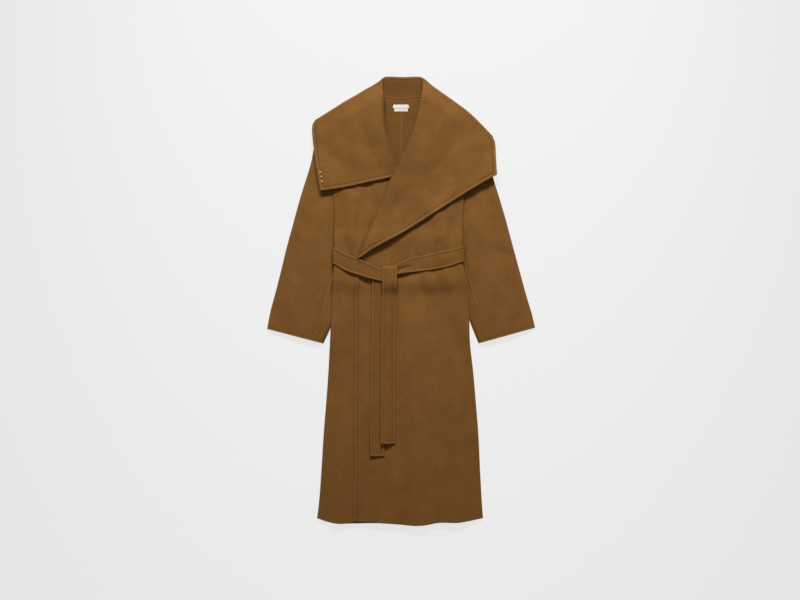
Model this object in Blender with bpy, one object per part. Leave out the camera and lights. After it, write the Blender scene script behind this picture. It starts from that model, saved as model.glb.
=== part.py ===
"""Wool wrap coat, laid flat on its back with the belt tied: one closed solid for each piece that is sewn on.

Plan sizes are millimetres: "across" runs from the centre back to the wearer's left, "up" runs from the
lowest point of the hem to the top of the collar. Heights are millimetres above the surface it lies on.
"""

import bmesh
import bpy
import numpy as np

for old in list(bpy.data.objects):
    bpy.data.objects.remove(old)

LENGTH = 1253.0  # lowest point of the hem to the top of the collar
CLOTH = 2.2  # double-faced wool
AIR = 1.0  # least air between two layers that lie on each other
SEAM = 0.3  # air between two pieces along a seam
STEP = CLOTH + AIR  # one more layer

BACK_SEAM = 1.4  # across, where the centre-back seam runs
SIDE_TURN = 4.0  # height between the two layers of a turned side edge
WAIST = 754.0  # up, middle of the belt behind the back
KNOT_LOW = 688.0  # up, lower side of where the belt is tied
FRONT_EDGE = -131.0  # across, the edge of the front that laps over
BELT_WIDTH = 42.0
BELT_THICK = 4.0  # two layers of the cloth, pressed
BELT_STEP = BELT_THICK + AIR

SLEEVE_EDGE = 3.2  # height between the two layers at a sleeve's edges
SLEEVE_LIFT = SLEEVE_EDGE + CLOTH + AIR  # what lies on the tucked part of a sleeve
DRAPE = 45.0  # width of the slope where a layer comes down from what it lies on
PAST = 15.0  # how far past that edge the slope starts

CROWN = 4.2  # how far the fronts stand off the back between folds
CINCHED_CROWN = 0.84  # the same under the belt
CINCH_BELOW = 30.0  # how far below the belt's middle it is pressed
CINCH_ABOVE = 10.0  # and above it
CINCH_SLOPE = 60.0
WING_AIR = 3.0  # how far the wings stand off the fronts
LAPEL_FULLNESS = 1.5  # more of that along a roll line
ROLL_FULLNESS = 4.0  # and more again at the neck
LAPEL_LIFT = 3.5  # how far the lapel's lower edge stands up
LAPEL_LIFT_REACH = 70.0
SLOPE_HEIGHT = 8.4  # middle of a wing where it folds over the shoulder
WING_END_HEIGHT = 10.4  # how far the over front rises over the end of the other wing
TAIL_LIFT = 6.0  # how far the front tail's corner stands up
BACK_TAIL_LIFT = 3.6  # and the back tail's

LIP = 3.0  # how far a turned edge comes back in
TURN_IN = (SIDE_TURN + CLOTH) / 2  # from a side edge in to the middle of its turn
ROLL_IN = 6.0  # the same at a roll line
SLOPE_IN = (SLOPE_HEIGHT - CLOTH / 2 + CLOTH) / 2  # the same at a wing's fold over the shoulder
HEM_BACK = 5.0  # up, the back's hem at the centre
BACK_SHORT = 2.0  # how much shorter the back is than the hem line
UNDERARM = 985.0  # up, where the side seams meet the sleeves
TURN_END = UNDERARM - 30  # up, where the fronts stop turning under at the sides
ROLL_DROP = 5.0  # least height between the two layers at a roll line
TAIL_LIP = 14.0  # how far the front tail runs on behind where the belt is tied
NECK_GAP = 4.0  # from a front's shoulder seam down to where its roll line starts
EDGE_GAP = 6.0  # the same from its free edge up
CORNER_GAP = 2.5  # how far a wing's two folds stay from the corner where they meet
BESIDE_ROLL = 45.0  # how far from a roll line its fullness reaches
BESIDE_FOLD = 45.0  # how far from its fold over the shoulder a wing slopes down
MM = 0.001

# Where a layer rises or comes down: the slope's start and end, across or up.
OFF_SLEEVES_AT_UNDERARM = (985, 952)
OFF_SLEEVES_AT_CUFF = (440, 520)
CROWN_FROM_SIDE = (4, 58)
FOLDS_FROM_SIDE = (4, 45)
OVER_WING_END_UP = (860, 950)
OVER_WING_END_ACROSS = (100, 20)
NECK_ROLL_UP = (990, 1090)
LAPEL_LIFT_ACROSS = (240, 60)
KNOT_ACROSS = (-92, -4)
TAIL_ON_TAIL = (-16, -37)
TAIL_ON_RUNS = (636, 674)
FRONT_CORNER_UP = (340, 229)
FRONT_CORNER_ACROSS = (-16, -56)
BACK_CORNER_UP = (300, 194)
BACK_CORNER_ACROSS = (-46, -86)

BROWN = (0.177, 0.082, 0.025)
BELT_BROWN = (0.165, 0.076, 0.023)
SEAM_BROWN = (0.150, 0.068, 0.020)
LABEL_WHITE = (0.80, 0.80, 0.76)


def table(columns, *rows):
    """Rows of numbers as one array for each named column."""
    return dict(zip(columns.split(), np.array(rows, dtype=float).T))


# The body's two side edges, from the hem to the armholes.
SIDES = table(
    "up right left",
    (20, -232, 229),
    (60, -227, 226),
    (150, -221, 221),
    (255, -216, 216),
    (355, -208, 208),
    (425, -203, 202),
    (515, -198, 192),
    (590, -195, 190),
    (680, -191, 182),
    (712, -188, 176),
    (738, -186, 171),
    (780, -186, 171),
    (840, -187, 172),
    (885, -187, 174),
    (930, -189, 176),
    (985, -195, 182),
)

HEM = table(
    "across up",
    (-232, 20),
    (-216, 13),
    (-186, 6),
    (-134, 5.5),
    (-59, 6.5),
    (0, 3),
    (34, 0),
    (72, 2),
    (98, 7),
    (165, 9),
    (202, 15),
    (229, 21),
)

# The collar's roll lines, from the top of the stand down to where each wing ends.
ROLL_RIGHT = table(
    "across up",
    (-40, 1253),
    (-49, 1240),
    (-51, 1224),
    (-48, 1190),
    (-48, 1156),
    (-44, 1116),
    (-36, 1077),
    (-24, 1038),
    (-13, 1011),
    (3, 980),
)
ROLL_LEFT = table(
    "across up",
    (52, 1253),
    (58, 1240),
    (56, 1210),
    (51, 1175),
    (37, 1116),
    (15, 1055),
    (-8, 1007),
    (-32, 962),
    (-59, 892),
    (-91, 822),
    (-111, 775),
    (-120, 745),
)

WING_PARTING = 0.0040  # share of the right wing's length between its two solids

# Each wing's fold over the shoulder, from the neck outwards, and its two finished edges.
SLOPE_RIGHT = table(
    "across up",
    (-40, 1253),
    (-63, 1238),
    (-126, 1197),
    (-185, 1161),
    (-224, 1138),
    (-242, 1122),
)
SLOPE_LEFT = table(
    "across up",
    (52, 1253),
    (109, 1209),
    (148, 1183),
    (188, 1154),
    (227, 1116),
    (247, 1094),
)
WING_SIDE_RIGHT = table(
    "across up",
    (-242, 1122),
    (-247, 1095),
    (-247, 1066),
    (-242, 1030),
    (-232, 967),
    (-225, 933),
)
WING_SIDE_LEFT = table("across up", (247, 1094), (260, 1083), (263, 1069), (264, 1035), (267, 978))
WING_HEM_RIGHT = table("across up", (-225, 933), (-165, 942), (-87, 959), (-32, 971), (3, 980))
WING_HEM_LEFT = table("across up", (267, 978), (220, 952), (113, 886), (6, 819), (-101, 759), (-120, 745))

# Where each wing's roll and fold meet near the top of the stand.
WING_TOP_RIGHT = (-57, 1237)
WING_TOP_LEFT = (63, 1239)

# The stand's seam, its ends and its top, which the fall behind it follows, and the fall's lower edge.
STAND_SEAM = table("across up", (-58, 1186.3), (-30, 1192.3), (1.4, 1190.3), (32, 1193.3), (62, 1186.3))
STAND_TOP = table("across down", (-40, 0), (6, 1.5), (52, 0))
STAND_RIGHT = table("across up", (-58, 1186), (-57, 1222))
STAND_LEFT = table("across up", (62, 1186), (64, 1222))
FALL_IN = 4.0  # how much shorter than the stand the fall's top is at each end
STAND_LIP = 2.0
FALL_EDGE = table("across up", (-233, 1114), (-150, 1062), (0, 1034), (150, 1058), (236, 1099))

# Shoulder seams, from the neck out to the armhole, and the neck seam of the back.
SHOULDER_RIGHT = table("across up", (-58, 1186), (-150, 1150), (-231.5, 1104))
SHOULDER_LEFT = table("across up", (62, 1186), (150, 1146), (235.5, 1088))
NECK_RIGHT = table("across up", (1.4, 1190), (-30, 1192), (-58, 1186))
NECK_LEFT = table("across up", (1.4, 1190), (32, 1193), (62, 1186))

# The fronts' free edges, from the hem up to where their wings start. The over front is a little shorter.
OVER_SHORT = 5.7
OVER_SHORT_ACROSS = (-40, -133)
OVER_EDGE = table("across up", (-133.6, 11), (-131.5, 120), (-131, 400), (-131, 694), (-127, 726))
HIDDEN_EDGE = table("across up", (131, 8), (131, 300), (128, 660), (105, 770), (60, 880), (8, 962))

# Sleeve sections from cuff to armhole: the outer and inner edge, how high the sleeve is filled between
# them, and the share of the width, from the outer edge, past which the body presses it flat.
SLEEVE_RIGHT = table(
    "outer_across outer_up inner_across inner_up fill pressed",
    (-372, 551, -216, 510, 6.5, 1.00),
    (-360, 601, -200, 556, 8.0, 1.00),
    (-345, 654, -184, 600, 8.5, 0.93),
    (-330, 713, -166, 650, 8.5, 0.84),
    (-318, 766, -149, 708, 8.0, 0.76),
    (-300, 833, -136, 780, 7.5, 0.68),
    (-285, 890, -133, 840, 6.5, 0.66),
    (-270, 943, -142, 886, 5.5, 0.68),
    (-256, 985, -163, 920, 4.5, 0.80),
    (-247, 1021, -192, 947, 3.0, 1.00),
    (-241, 1064, -196, 967, 2.5, 1.00),
    (-232.4, 1104, -194.4, 984, 2.0, 1.00),
)
SLEEVE_LEFT = table(
    "outer_across outer_up inner_across inner_up fill pressed",
    (372, 554, 216, 510, 6.5, 1.00),
    (362, 593, 203, 552, 8.0, 1.00),
    (347, 643, 186, 596, 8.5, 0.95),
    (332, 694, 166, 646, 8.5, 0.84),
    (317, 755, 146, 705, 8.0, 0.78),
    (302, 811, 131, 775, 7.0, 0.72),
    (288, 870, 126, 835, 6.0, 0.70),
    (272, 923, 132, 880, 5.0, 0.68),
    (258, 969, 150, 912, 4.5, 0.80),
    (251, 1008, 178, 946, 3.0, 1.00),
    (246, 1050, 183, 967, 2.5, 1.00),
    (236.5, 1088, 181.4, 984, 2.0, 1.00),
)
SLEEVE_SEAM = (0.82, 0.74)  # share of a sleeve's width where its seam runs, at the cuff and the armhole

# A sleeve's upper piece is one piece of cloth, parted at the elbow so that its two solids are simpler.
ELBOW = 0.5  # share of the sleeve's length
ELBOW_PARTING = 0.0008
ELBOW_SECTION = 8

# Folds are ridges, positive, and valleys, negative, each between two points. The fronts' long ones come
# first, then the wings' and the sleeves'.
FRONT_FOLDS = table(
    "from_across from_up to_across to_up half_width height",
    (-180, -60, -168, 330, 24, 7.0),
    (-100, -60, -118, 300, 30, -1.6),
    (48, -60, 28, 600, 30, 6.5),
    (101, -60, 88, 640, 24, -3.0),
    (158, -60, 164, 440, 25, 6.0),
    (-143, 800, -150, 900, 14, 2.0),
    (-117, 790, -112, 905, 12, -2.0),
    (81, 790, 74, 865, 10, -1.8),
    (112, 800, 104, 900, 14, 2.0),
)

WING_FOLDS_RIGHT = table(
    "from_across from_up to_across to_up half_width height",
    (-185, 1135, -150, 1060, 24, -2.8),
    (-108, 1090, -85, 1020, 22, -2.6),
    (-140, 1120, -110, 1000, 20, 2.5),
    (-215, 1040, -205, 960, 18, 2.0),
)
WING_FOLDS_LEFT = table(
    "from_across from_up to_across to_up half_width height",
    (160, 1110, 110, 1000, 24, -2.9),
    (0, 905, -45, 850, 16, -2.2),
    (210, 1070, 190, 985, 20, 3.0),
    (85, 1090, 40, 970, 24, 3.0),
)

SLEEVE_FOLDS = table(
    "from_across from_up to_across to_up half_width height",
    (-250, 960, -271, 825, 14, -2.6),
    (-271, 825, -318, 665, 18, -3.0),
    (232, 960, 262, 800, 12, -3.0),
    (262, 800, 300, 640, 20, -2.0),
)

# The belt's two runs, from the side to where it is tied, and its tails, from the top down. It is gathered
# where it is tied, so its width changes there.
RUN_RIGHT = table(
    "across top bottom",
    (-191.5, 773, 730),
    (-166, 759.5, 714.5),
    (-118, 739, 694.5),
    (-74, 722.5, 684.5),
    (-54, 715, 681),
    (-34, 709, 681),
)
RUN_LEFT = table(
    "across top bottom",
    (176.5, 778.5, 737.5),
    (128, 767.5, 722),
    (90, 758, 715),
    (53, 750.5, 709.5),
    (20, 742, 707),
    (0, 728, 704),
    (-8, 719, 702),
    (-31, 713, 692),
)
FRONT_TAIL = table(
    "up left right",
    (724.4, -51.5, -10.5),
    (640, -51.5, -10.5),
    (500, -53.5, -12.5),
    (360, -56, -15.5),
    (229, -56.5, -16),
)
BACK_TAIL = table(
    "up left right",
    (690, -81.5, -40.5),
    (620, -81.5, -40.5),
    (460, -84, -43.5),
    (330, -86, -45.5),
    (194, -86.5, -46),
)

# The bare label below the neck seam, whose ends come to a point, and the small tab under it.
LABELS = {
    "label": {"top": 1178.0, "bottom": 1165.0, "half_width": 22.0, "point": 4.0},
    "label_tab": {"top": 1164.6, "bottom": 1155.5, "half_width": 21.0, "point": 0.0},
}
LABEL_THICK = 0.8


def rise(value, start, end):
    """0 before `start`, 1 past `end`, and a smooth slope between them, in either order."""
    share = np.clip((value - start) / (end - start), 0.0, 1.0)
    return share * share * (3.0 - 2.0 * share)


def band(value, low, high, slope):
    """1 between `low` and `high`, with a smooth slope outside them."""
    return rise(value, low - slope, low) * rise(value, high + slope, high)


def read(rows, key, value, column):
    """The column's value where the key column has the given value, straight between rows."""
    order = np.argsort(rows[key])
    return np.interp(value, rows[key][order], rows[column][order])


def folds(rows, across, up):
    """Height that the table's folds add: soft ridges and valleys along straight lines, faded at both ends."""
    total = np.zeros_like(across)
    for row in range(len(rows["height"])):
        start = np.array([rows["from_across"][row], rows["from_up"][row]])
        run = np.array([rows["to_across"][row], rows["to_up"][row]]) - start
        length = np.hypot(*run)
        along = ((across - start[0]) * run[0] + (up - start[1]) * run[1]) / length
        aside = ((across - start[0]) * run[1] - (up - start[1]) * run[0]) / length
        width = rows["half_width"][row]
        fade = band(along, 1.5 * width, length - 1.5 * width, 3.0 * width)
        total += rows["height"][row] * fade * np.exp(-((aside / width) ** 2))
    return total


# Curves and grids in plan. The body's rows lie closest where the belt presses it.
SKIRT_ROWS = (0, 45, 115, 205, 310, 425, 530, 600)
BODY_ROWS = np.concatenate([SKIRT_ROWS, np.linspace(640, 836, 15), np.linspace(864, 1186, 11)])
BODY_SHARES = BODY_ROWS / BODY_ROWS[-1]


def smooth(corners):
    """Many points of a smooth curve through the given ones."""
    spans = np.linalg.norm(np.diff(corners, axis=0), axis=1)
    marks = np.concatenate([[0], np.cumsum(spans)])
    slopes = np.gradient(corners, marks, axis=0)
    fine = np.linspace(0, marks[-1], 40 * len(marks))
    index = np.clip(np.searchsorted(marks, fine, side="right") - 1, 0, len(spans) - 1)
    span = spans[index][:, None]
    share = (fine - marks[index])[:, None] / span
    start = corners[index]
    end = corners[index + 1]
    towards_end = share * share * (3 - 2 * share)
    leaving = share * (1 - share) ** 2 * slopes[index] * span
    arriving = share * share * (share - 1) * slopes[index + 1] * span
    return start * (1 - towards_end) + end * towards_end + leaving + arriving


def spaced(curve, shares):
    """The curve's points at the given shares of its length."""
    travelled = np.concatenate([[0], np.cumsum(np.linalg.norm(np.diff(curve, axis=0), axis=1))])
    marks = shares * travelled[-1]
    return np.stack([np.interp(marks, travelled, column) for column in curve.T], axis=1)


def even(count):
    """That many shares from 0 to 1, the same distance apart."""
    return np.linspace(0, 1, count)


def by_level(curve):
    """The curve's points on the body's rows, which run level below the chest."""
    up = np.interp(BODY_ROWS, (0, 60, 900, BODY_ROWS[-1]), (curve[0, 1], 60, 900, curve[-1, 1]))
    return np.stack([np.interp(up, curve[:, 1], curve[:, 0]), up], axis=1)


def points(rows):
    """A table's plan points."""
    return np.stack([rows["across"], rows["up"]], axis=1)


def moved_in(curve, distance):
    """The curve moved sideways by `distance`: to its left, or to its right if it is negative."""
    run = np.gradient(curve, axis=0)
    run /= np.linalg.norm(run, axis=1)[:, None]
    return curve + distance * np.stack([-run[:, 1], run[:, 0]], axis=1)


def pinned(curve, first, last):
    """The curve moved so that it starts and ends at the given points."""
    share = even(len(curve))[:, None]
    return curve + (1 - share) * (first - curve[0]) + share * (last - curve[-1])


def patch(low, high, start, end, columns, rows):
    """Grid of plan points between four borders: rows go from low to high, columns from start to end.

    `columns` and `rows` are the shares of the way where each column and row lies.
    """
    v = rows[:, None, None]
    u = columns[None, :, None]
    low_start = (low[0] + start[0]) / 2
    low_end = (low[-1] + end[0]) / 2
    high_start = (high[0] + start[-1]) / 2
    high_end = (high[-1] + end[-1]) / 2
    between_rows = (1 - v) * pinned(low, low_start, low_end) + v * pinned(high, high_start, high_end)
    first = pinned(start, low_start, high_start)[:, None]
    last = pinned(end, low_end, high_end)[:, None]
    between_columns = (1 - u) * first + u * last
    corners = (1 - v) * ((1 - u) * low_start + u * low_end) + v * ((1 - u) * high_start + u * high_end)
    return between_rows + between_columns - corners


def at_height(grid, height):
    """The plan points, each with the height that the function gives there."""
    return np.concatenate([grid, height(grid[..., 0], grid[..., 1])[..., None]], axis=2)


def swapped(grid):
    """The same grid with its rows as columns."""
    return np.swapaxes(grid, 0, 1)


def turned_under(grid, drop, lip=3.0, steps=3):
    """The grid with columns added past its last one, where the cloth turns down by `drop` and back in."""
    edge = grid[:, -1]
    run = np.gradient(edge[:, :2], axis=0)
    out = np.stack([run[:, 1], -run[:, 0], np.zeros(len(run))], axis=1)
    out /= np.linalg.norm(out, axis=1)[:, None]
    out *= np.sign(np.sum(out * (edge - grid[:, -2]), axis=1))[:, None]
    down = np.array([0.0, 0.0, -1.0])
    radius = (np.broadcast_to(drop, len(edge)) / 2)[:, None]
    turns = np.linspace(0, np.pi, steps + 1)[1:]
    added = [edge + out * radius * np.sin(turn) + down * radius * (1 - np.cos(turn)) for turn in turns]
    added.append(added[-1] - out * lip)
    return np.concatenate([grid, np.stack(added, axis=1)], axis=1)


# Heights of the layers, from the surface up.


def tucked(rows, across, up, side):
    """1 over the part of a sleeve that lies under the body, with a slope inwards of it."""
    inner = side * read(rows, "inner_up", up, "inner_across")
    lifted = rise(side * across, inner - PAST - DRAPE, inner - PAST)
    return lifted * rise(up, *OFF_SLEEVES_AT_UNDERARM) * rise(up, *OFF_SLEEVES_AT_CUFF)


def on_sleeves(across, up):
    """Height at which what lies on the surface and on the tucked sleeves starts."""
    return SLEEVE_LIFT * (tucked(SLEEVE_RIGHT, across, up, -1) + tucked(SLEEVE_LEFT, across, up, 1))


def fall_edge(across):
    """Up, where the collar's fall behind the back ends."""
    line = smooth(points(FALL_EDGE))
    return np.interp(across, line[:, 0], line[:, 1])


def back(across, up):
    """Middle height of the back, which lies on the sleeves, the belt and the collar's fall."""
    belt = band(up, KNOT_LOW, WAIST + BELT_WIDTH / 2 + PAST, DRAPE)
    fall = rise(up, fall_edge(across) - PAST - DRAPE, fall_edge(across) - PAST)
    return on_sleeves(across, up) + BELT_STEP * belt + STEP * fall + CLOTH / 2


def loft(across, up):
    """Air between back and fronts past the least that layers keep: little at the sides and under the belt."""
    from_right = across - read(SIDES, "up", up, "right")
    from_left = read(SIDES, "up", up, "left") - across
    reach = np.minimum(from_right, from_left)
    cinched = band(up, WAIST - CINCH_BELOW, WAIST + CINCH_ABOVE, CINCH_SLOPE)
    crown = (CROWN + (CINCHED_CROWN - CROWN) * cinched) * rise(reach, *CROWN_FROM_SIDE)
    relief = folds(FRONT_FOLDS, across, up) * rise(reach, *FOLDS_FROM_SIDE)
    return np.maximum(crown + relief, 0.0) + SIDE_TURN - STEP


def under_front(across, up):
    """Middle height of the front that lies on the back."""
    return back(across, up) + STEP + loft(across, up)


def over_front(across, up):
    """Middle height of the front that lies on the other one, and on the end of its wing."""
    hidden = read(HIDDEN_EDGE, "up", up, "across")
    doubled = STEP * rise(across, hidden + PAST + DRAPE, hidden + PAST)
    over_wing = rise(up, *OVER_WING_END_UP) * rise(across, *OVER_WING_END_ACROSS)
    return under_front(across, up) + doubled + (WING_END_HEIGHT - doubled) * over_wing


def front(across, up):
    """Middle height of the fronts for what lies on either of them."""
    lapped = rise(across, FRONT_EDGE - PAST - DRAPE, FRONT_EDGE - PAST)
    return under_front(across, up) * (1 - lapped) + over_front(across, up) * lapped


def wing(lying_on, roll, slope, relief, across, up):
    """Middle height of a wing: fullest at its roll line, and low at its fold over the shoulder."""
    from_roll = np.abs(across - read(roll, "up", up, "across"))
    most = LAPEL_FULLNESS + ROLL_FULLNESS * rise(up, *NECK_ROLL_UP)
    fullness = most * np.exp(-((from_roll / BESIDE_ROLL) ** 2))
    lying = lying_on(across, up) + STEP + WING_AIR + fullness + folds(relief, across, up)
    fold = read(slope, "across", across, "up")
    turning = rise(up, fold - BESIDE_FOLD, fold)
    return lying * (1 - turning) + SLOPE_HEIGHT * turning


def right_wing(across, up):
    """Middle height of the wearer's right wing."""
    return wing(under_front, ROLL_RIGHT, SLOPE_RIGHT, WING_FOLDS_RIGHT, across, up)


def left_wing(across, up):
    """Middle height of the wearer's left wing and lapel, whose lower edge stands up a little."""
    edge = read(WING_HEM_LEFT, "across", across, "up")
    lift = LAPEL_LIFT * rise(up, edge + LAPEL_LIFT_REACH, edge) * rise(across, *LAPEL_LIFT_ACROSS)
    return wing(over_front, ROLL_LEFT, SLOPE_LEFT, WING_FOLDS_LEFT, across, up) + lift


def knot(across, up):
    """1 where the belt's two runs lie on its turned end and on the back tail."""
    return band(across, *KNOT_ACROSS, DRAPE)


def on_front(across, up):
    """Middle height of a length of belt that lies on the fronts."""
    return front(across, up) + CLOTH / 2 + AIR + BELT_THICK / 2


def belt_run(across, up):
    """Middle height of the belt's two runs."""
    return on_front(across, up) + BELT_STEP * knot(across, up)


def front_tail(across, up):
    """Middle height of the front tail, which lies on the runs and then half on the back tail."""
    on_back_tail = rise(across, *TAIL_ON_TAIL)
    on_runs = rise(up, *TAIL_ON_RUNS)
    corner = TAIL_LIFT * rise(up, *FRONT_CORNER_UP) * rise(across, *FRONT_CORNER_ACROSS)
    return on_front(across, up) + BELT_STEP * (np.maximum(on_back_tail, on_runs) + on_runs) + corner


def back_tail(across, up):
    """Middle height of the back tail."""
    corner = BACK_TAIL_LIFT * rise(up, *BACK_CORNER_UP) * rise(across, *BACK_CORNER_ACROSS)
    return on_front(across, up) + corner


def belt_behind(across, up):
    """Middle height of the belt behind the back."""
    return on_sleeves(across, up) + BELT_THICK / 2


# Solids.


def material(name, colour):
    """A plain Principled material of a matt cloth."""
    made = bpy.data.materials.new(name)
    made.use_nodes = True
    shader = made.node_tree.nodes["Principled BSDF"]
    shader.inputs["Base Color"].default_value = (*colour, 1.0)
    shader.inputs["Roughness"].default_value = 0.9
    shader.inputs["Metallic"].default_value = 0.0
    return made


def cloth(name, grid, colour=BROWN, thickness=CLOTH, left_out=None):
    """A wall of even thickness about a grid of middle points, as one closed solid without cells left out."""
    mesh = bmesh.new()
    rows, columns = grid.shape[:2]
    cells = np.ones((rows - 1, columns - 1), dtype=bool)
    if left_out is not None:
        cells[left_out] = False
    place = grid * MM
    place[..., 1] -= LENGTH * MM / 2
    corner = [[mesh.verts.new(place[row, column]) for column in range(columns)] for row in range(rows)]
    for row, column in zip(*np.nonzero(cells)):
        near = corner[row][column : column + 2]
        far = corner[row + 1][column : column + 2]
        mesh.faces.new((near[0], near[1], far[1], far[0]))
    unused = [vertex for vertex in mesh.verts if not vertex.link_faces]
    bmesh.ops.delete(mesh, geom=unused, context="VERTS")
    mesh.normal_update()
    middle = list(mesh.verts)
    sheet = list(mesh.faces)
    rim = [edge for edge in mesh.edges if edge.is_boundary]
    half = thickness * MM / 2
    upper = {vertex: mesh.verts.new(vertex.co + vertex.normal * half) for vertex in middle}
    lower = {vertex: mesh.verts.new(vertex.co - vertex.normal * half) for vertex in middle}
    for face in sheet:
        mesh.faces.new([upper[vertex] for vertex in face.verts])
        mesh.faces.new([lower[vertex] for vertex in reversed(face.verts)])
    for edge in rim:
        first, last = edge.verts
        mesh.faces.new((upper[first], upper[last], lower[last], lower[first]))
    bmesh.ops.delete(mesh, geom=middle, context="VERTS")
    bmesh.ops.recalc_face_normals(mesh, faces=list(mesh.faces))
    data = bpy.data.meshes.new(name)
    mesh.to_mesh(data)
    mesh.free()
    data.materials.append(material(name, colour))
    data.shade_smooth()
    data.set_sharp_from_angle(angle=np.radians(50))
    made = bpy.data.objects.new(name, data)
    bpy.context.scene.collection.objects.link(made)
    return made


def hem(start, end, short=lambda across: 0.0):
    """The hem line between two places across, with how much shorter this piece is."""
    line = smooth(points(HEM))
    across = np.linspace(start, end, 60)
    return np.stack([across, np.interp(across, line[:, 0], line[:, 1]) + short(across)], axis=1)


def side_and_armhole(side, moved, shoulder):
    """A body panel's outer border, `moved` in from the side edge, up to the shoulder."""
    sign = np.sign(SIDES[side][0])
    line = smooth(np.stack([SIDES[side], SIDES["up"]], axis=1))
    inset = TURN_IN + (moved - TURN_IN) * rise(line[:, 1], UNDERARM, TURN_END)
    line[:, 0] -= sign * inset
    return np.concatenate([line, [[shoulder["across"][-1], shoulder["up"][-1]]]])


def back_half(name, side, neck, shoulder):
    """One half of the back, from the centre-back seam to its side."""
    sign = np.sign(SIDES[side][0])
    centre = BACK_SEAM + sign * SEAM / 2
    outer = side_and_armhole(side, TURN_IN + LIP + SEAM, shoulder)
    top = np.concatenate([smooth(points(neck)), smooth(points(shoulder))[1:]])
    seam = np.array([[centre, HEM_BACK], [centre, neck["up"][0]]])
    bottom = hem(centre, outer[0, 0], lambda across: BACK_SHORT)
    across = 1 - (1 - even(9)) ** 1.35
    bottom, top = spaced(bottom, across), spaced(top, across)
    plan = patch(bottom, top, by_level(seam), by_level(outer), across, BODY_SHARES)
    cloth(name, at_height(plan, back))


def front_half(name, side, edge, roll, roll_side, shoulder, height, short):
    """One front, from its free edge and roll line to the side, where it turns under to the back."""
    down_roll = moved_in(smooth(points(roll)), roll_side * (ROLL_IN + LIP + SEAM))
    up_roll = down_roll[down_roll[:, 1] < shoulder["up"][0] - NECK_GAP][::-1]
    free = smooth(points(edge))
    inner = np.concatenate([free[free[:, 1] < up_roll[0, 1] - EDGE_GAP], up_roll])
    outer = side_and_armhole(side, TURN_IN, shoulder)
    bottom = hem(inner[0, 0], outer[0, 0], short)
    across = even(18)
    top = spaced(smooth(points(shoulder)), across)
    plan = patch(spaced(bottom, across), top, by_level(inner), by_level(outer), across, BODY_SHARES)
    grid = at_height(plan, height)
    folded = turned_under(grid, SIDE_TURN, LIP)
    left_out = np.zeros(np.array(folded.shape[:2]) - 1, dtype=bool)
    left_out[grid[1:, -1, 1] > TURN_END, grid.shape[1] - 1 :] = True
    cloth(name, folded, left_out=left_out)


def sleeve(name, rows):
    """The two pieces of a sleeve, parted along the seam that shows and along one under the outer edge.

    The upper one is in two solids, below and above the elbow.
    """
    stations = np.concatenate([
        np.linspace(0, ELBOW - ELBOW_PARTING / 2, ELBOW_SECTION),
        np.linspace(ELBOW + ELBOW_PARTING / 2, 1, ELBOW_SECTION),
    ])
    sections = spaced(smooth(np.stack(list(rows.values()), axis=1)), stations)
    seam = SLEEVE_SEAM[0] + (SLEEVE_SEAM[1] - SLEEVE_SEAM[0]) * stations
    over = []
    under = []
    bend = SLEEVE_EDGE / 2
    inset = bend + CLOTH / 2
    turns = np.radians([60, 120, 180])
    for share, section in zip(seam, sections):
        outer_across, outer_up, inner_across, inner_up, fill, pressed = section
        outer = np.array([outer_across, outer_up])
        way = np.array([inner_across, inner_up]) - outer
        width = np.hypot(*way)
        way /= width

        def top(reach):
            plan = outer + reach[:, None] * way
            hump = np.sin(np.pi * np.clip(reach / width / pressed, 0, 1)) ** 1.3
            relief = folds(SLEEVE_FOLDS, plan[:, 0], plan[:, 1]) * rise(hump, 0, 0.6)
            rising = np.maximum(fill * hump + relief, 0.0)
            return np.column_stack([plan, CLOTH / 2 + SLEEVE_EDGE + rising])

        def bottom(reach):
            plan = outer + reach[:, None] * way
            return np.column_stack([plan, np.full(len(reach), CLOTH / 2)])

        def bent(reach, direction, from_top):
            plan = outer + (reach + direction * bend * np.sin(turns))[:, None] * way
            height = CLOTH / 2 + bend * (1 + from_top * np.cos(turns))
            return np.column_stack([plan, height])

        over.append(np.concatenate([
            top(np.linspace(width * share, inset, 10)),
            bent(inset, -1, 1),
            bottom(np.array([inset + LIP])),
        ]))
        under.append(np.concatenate([
            bottom(np.linspace(inset + LIP + SEAM, width - inset, 8)),
            bent(width - inset, 1, -1),
            top(np.linspace(width - inset - LIP, width * share + 2 * SEAM, 3)),
        ]))
    over = np.stack(over)
    cloth(name + "_upper", over[:ELBOW_SECTION])
    cloth(name + "_upper_top", over[ELBOW_SECTION:])
    cloth(name + "_under", np.delete(under, ELBOW_SECTION, axis=0), colour=SEAM_BROWN)


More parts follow.
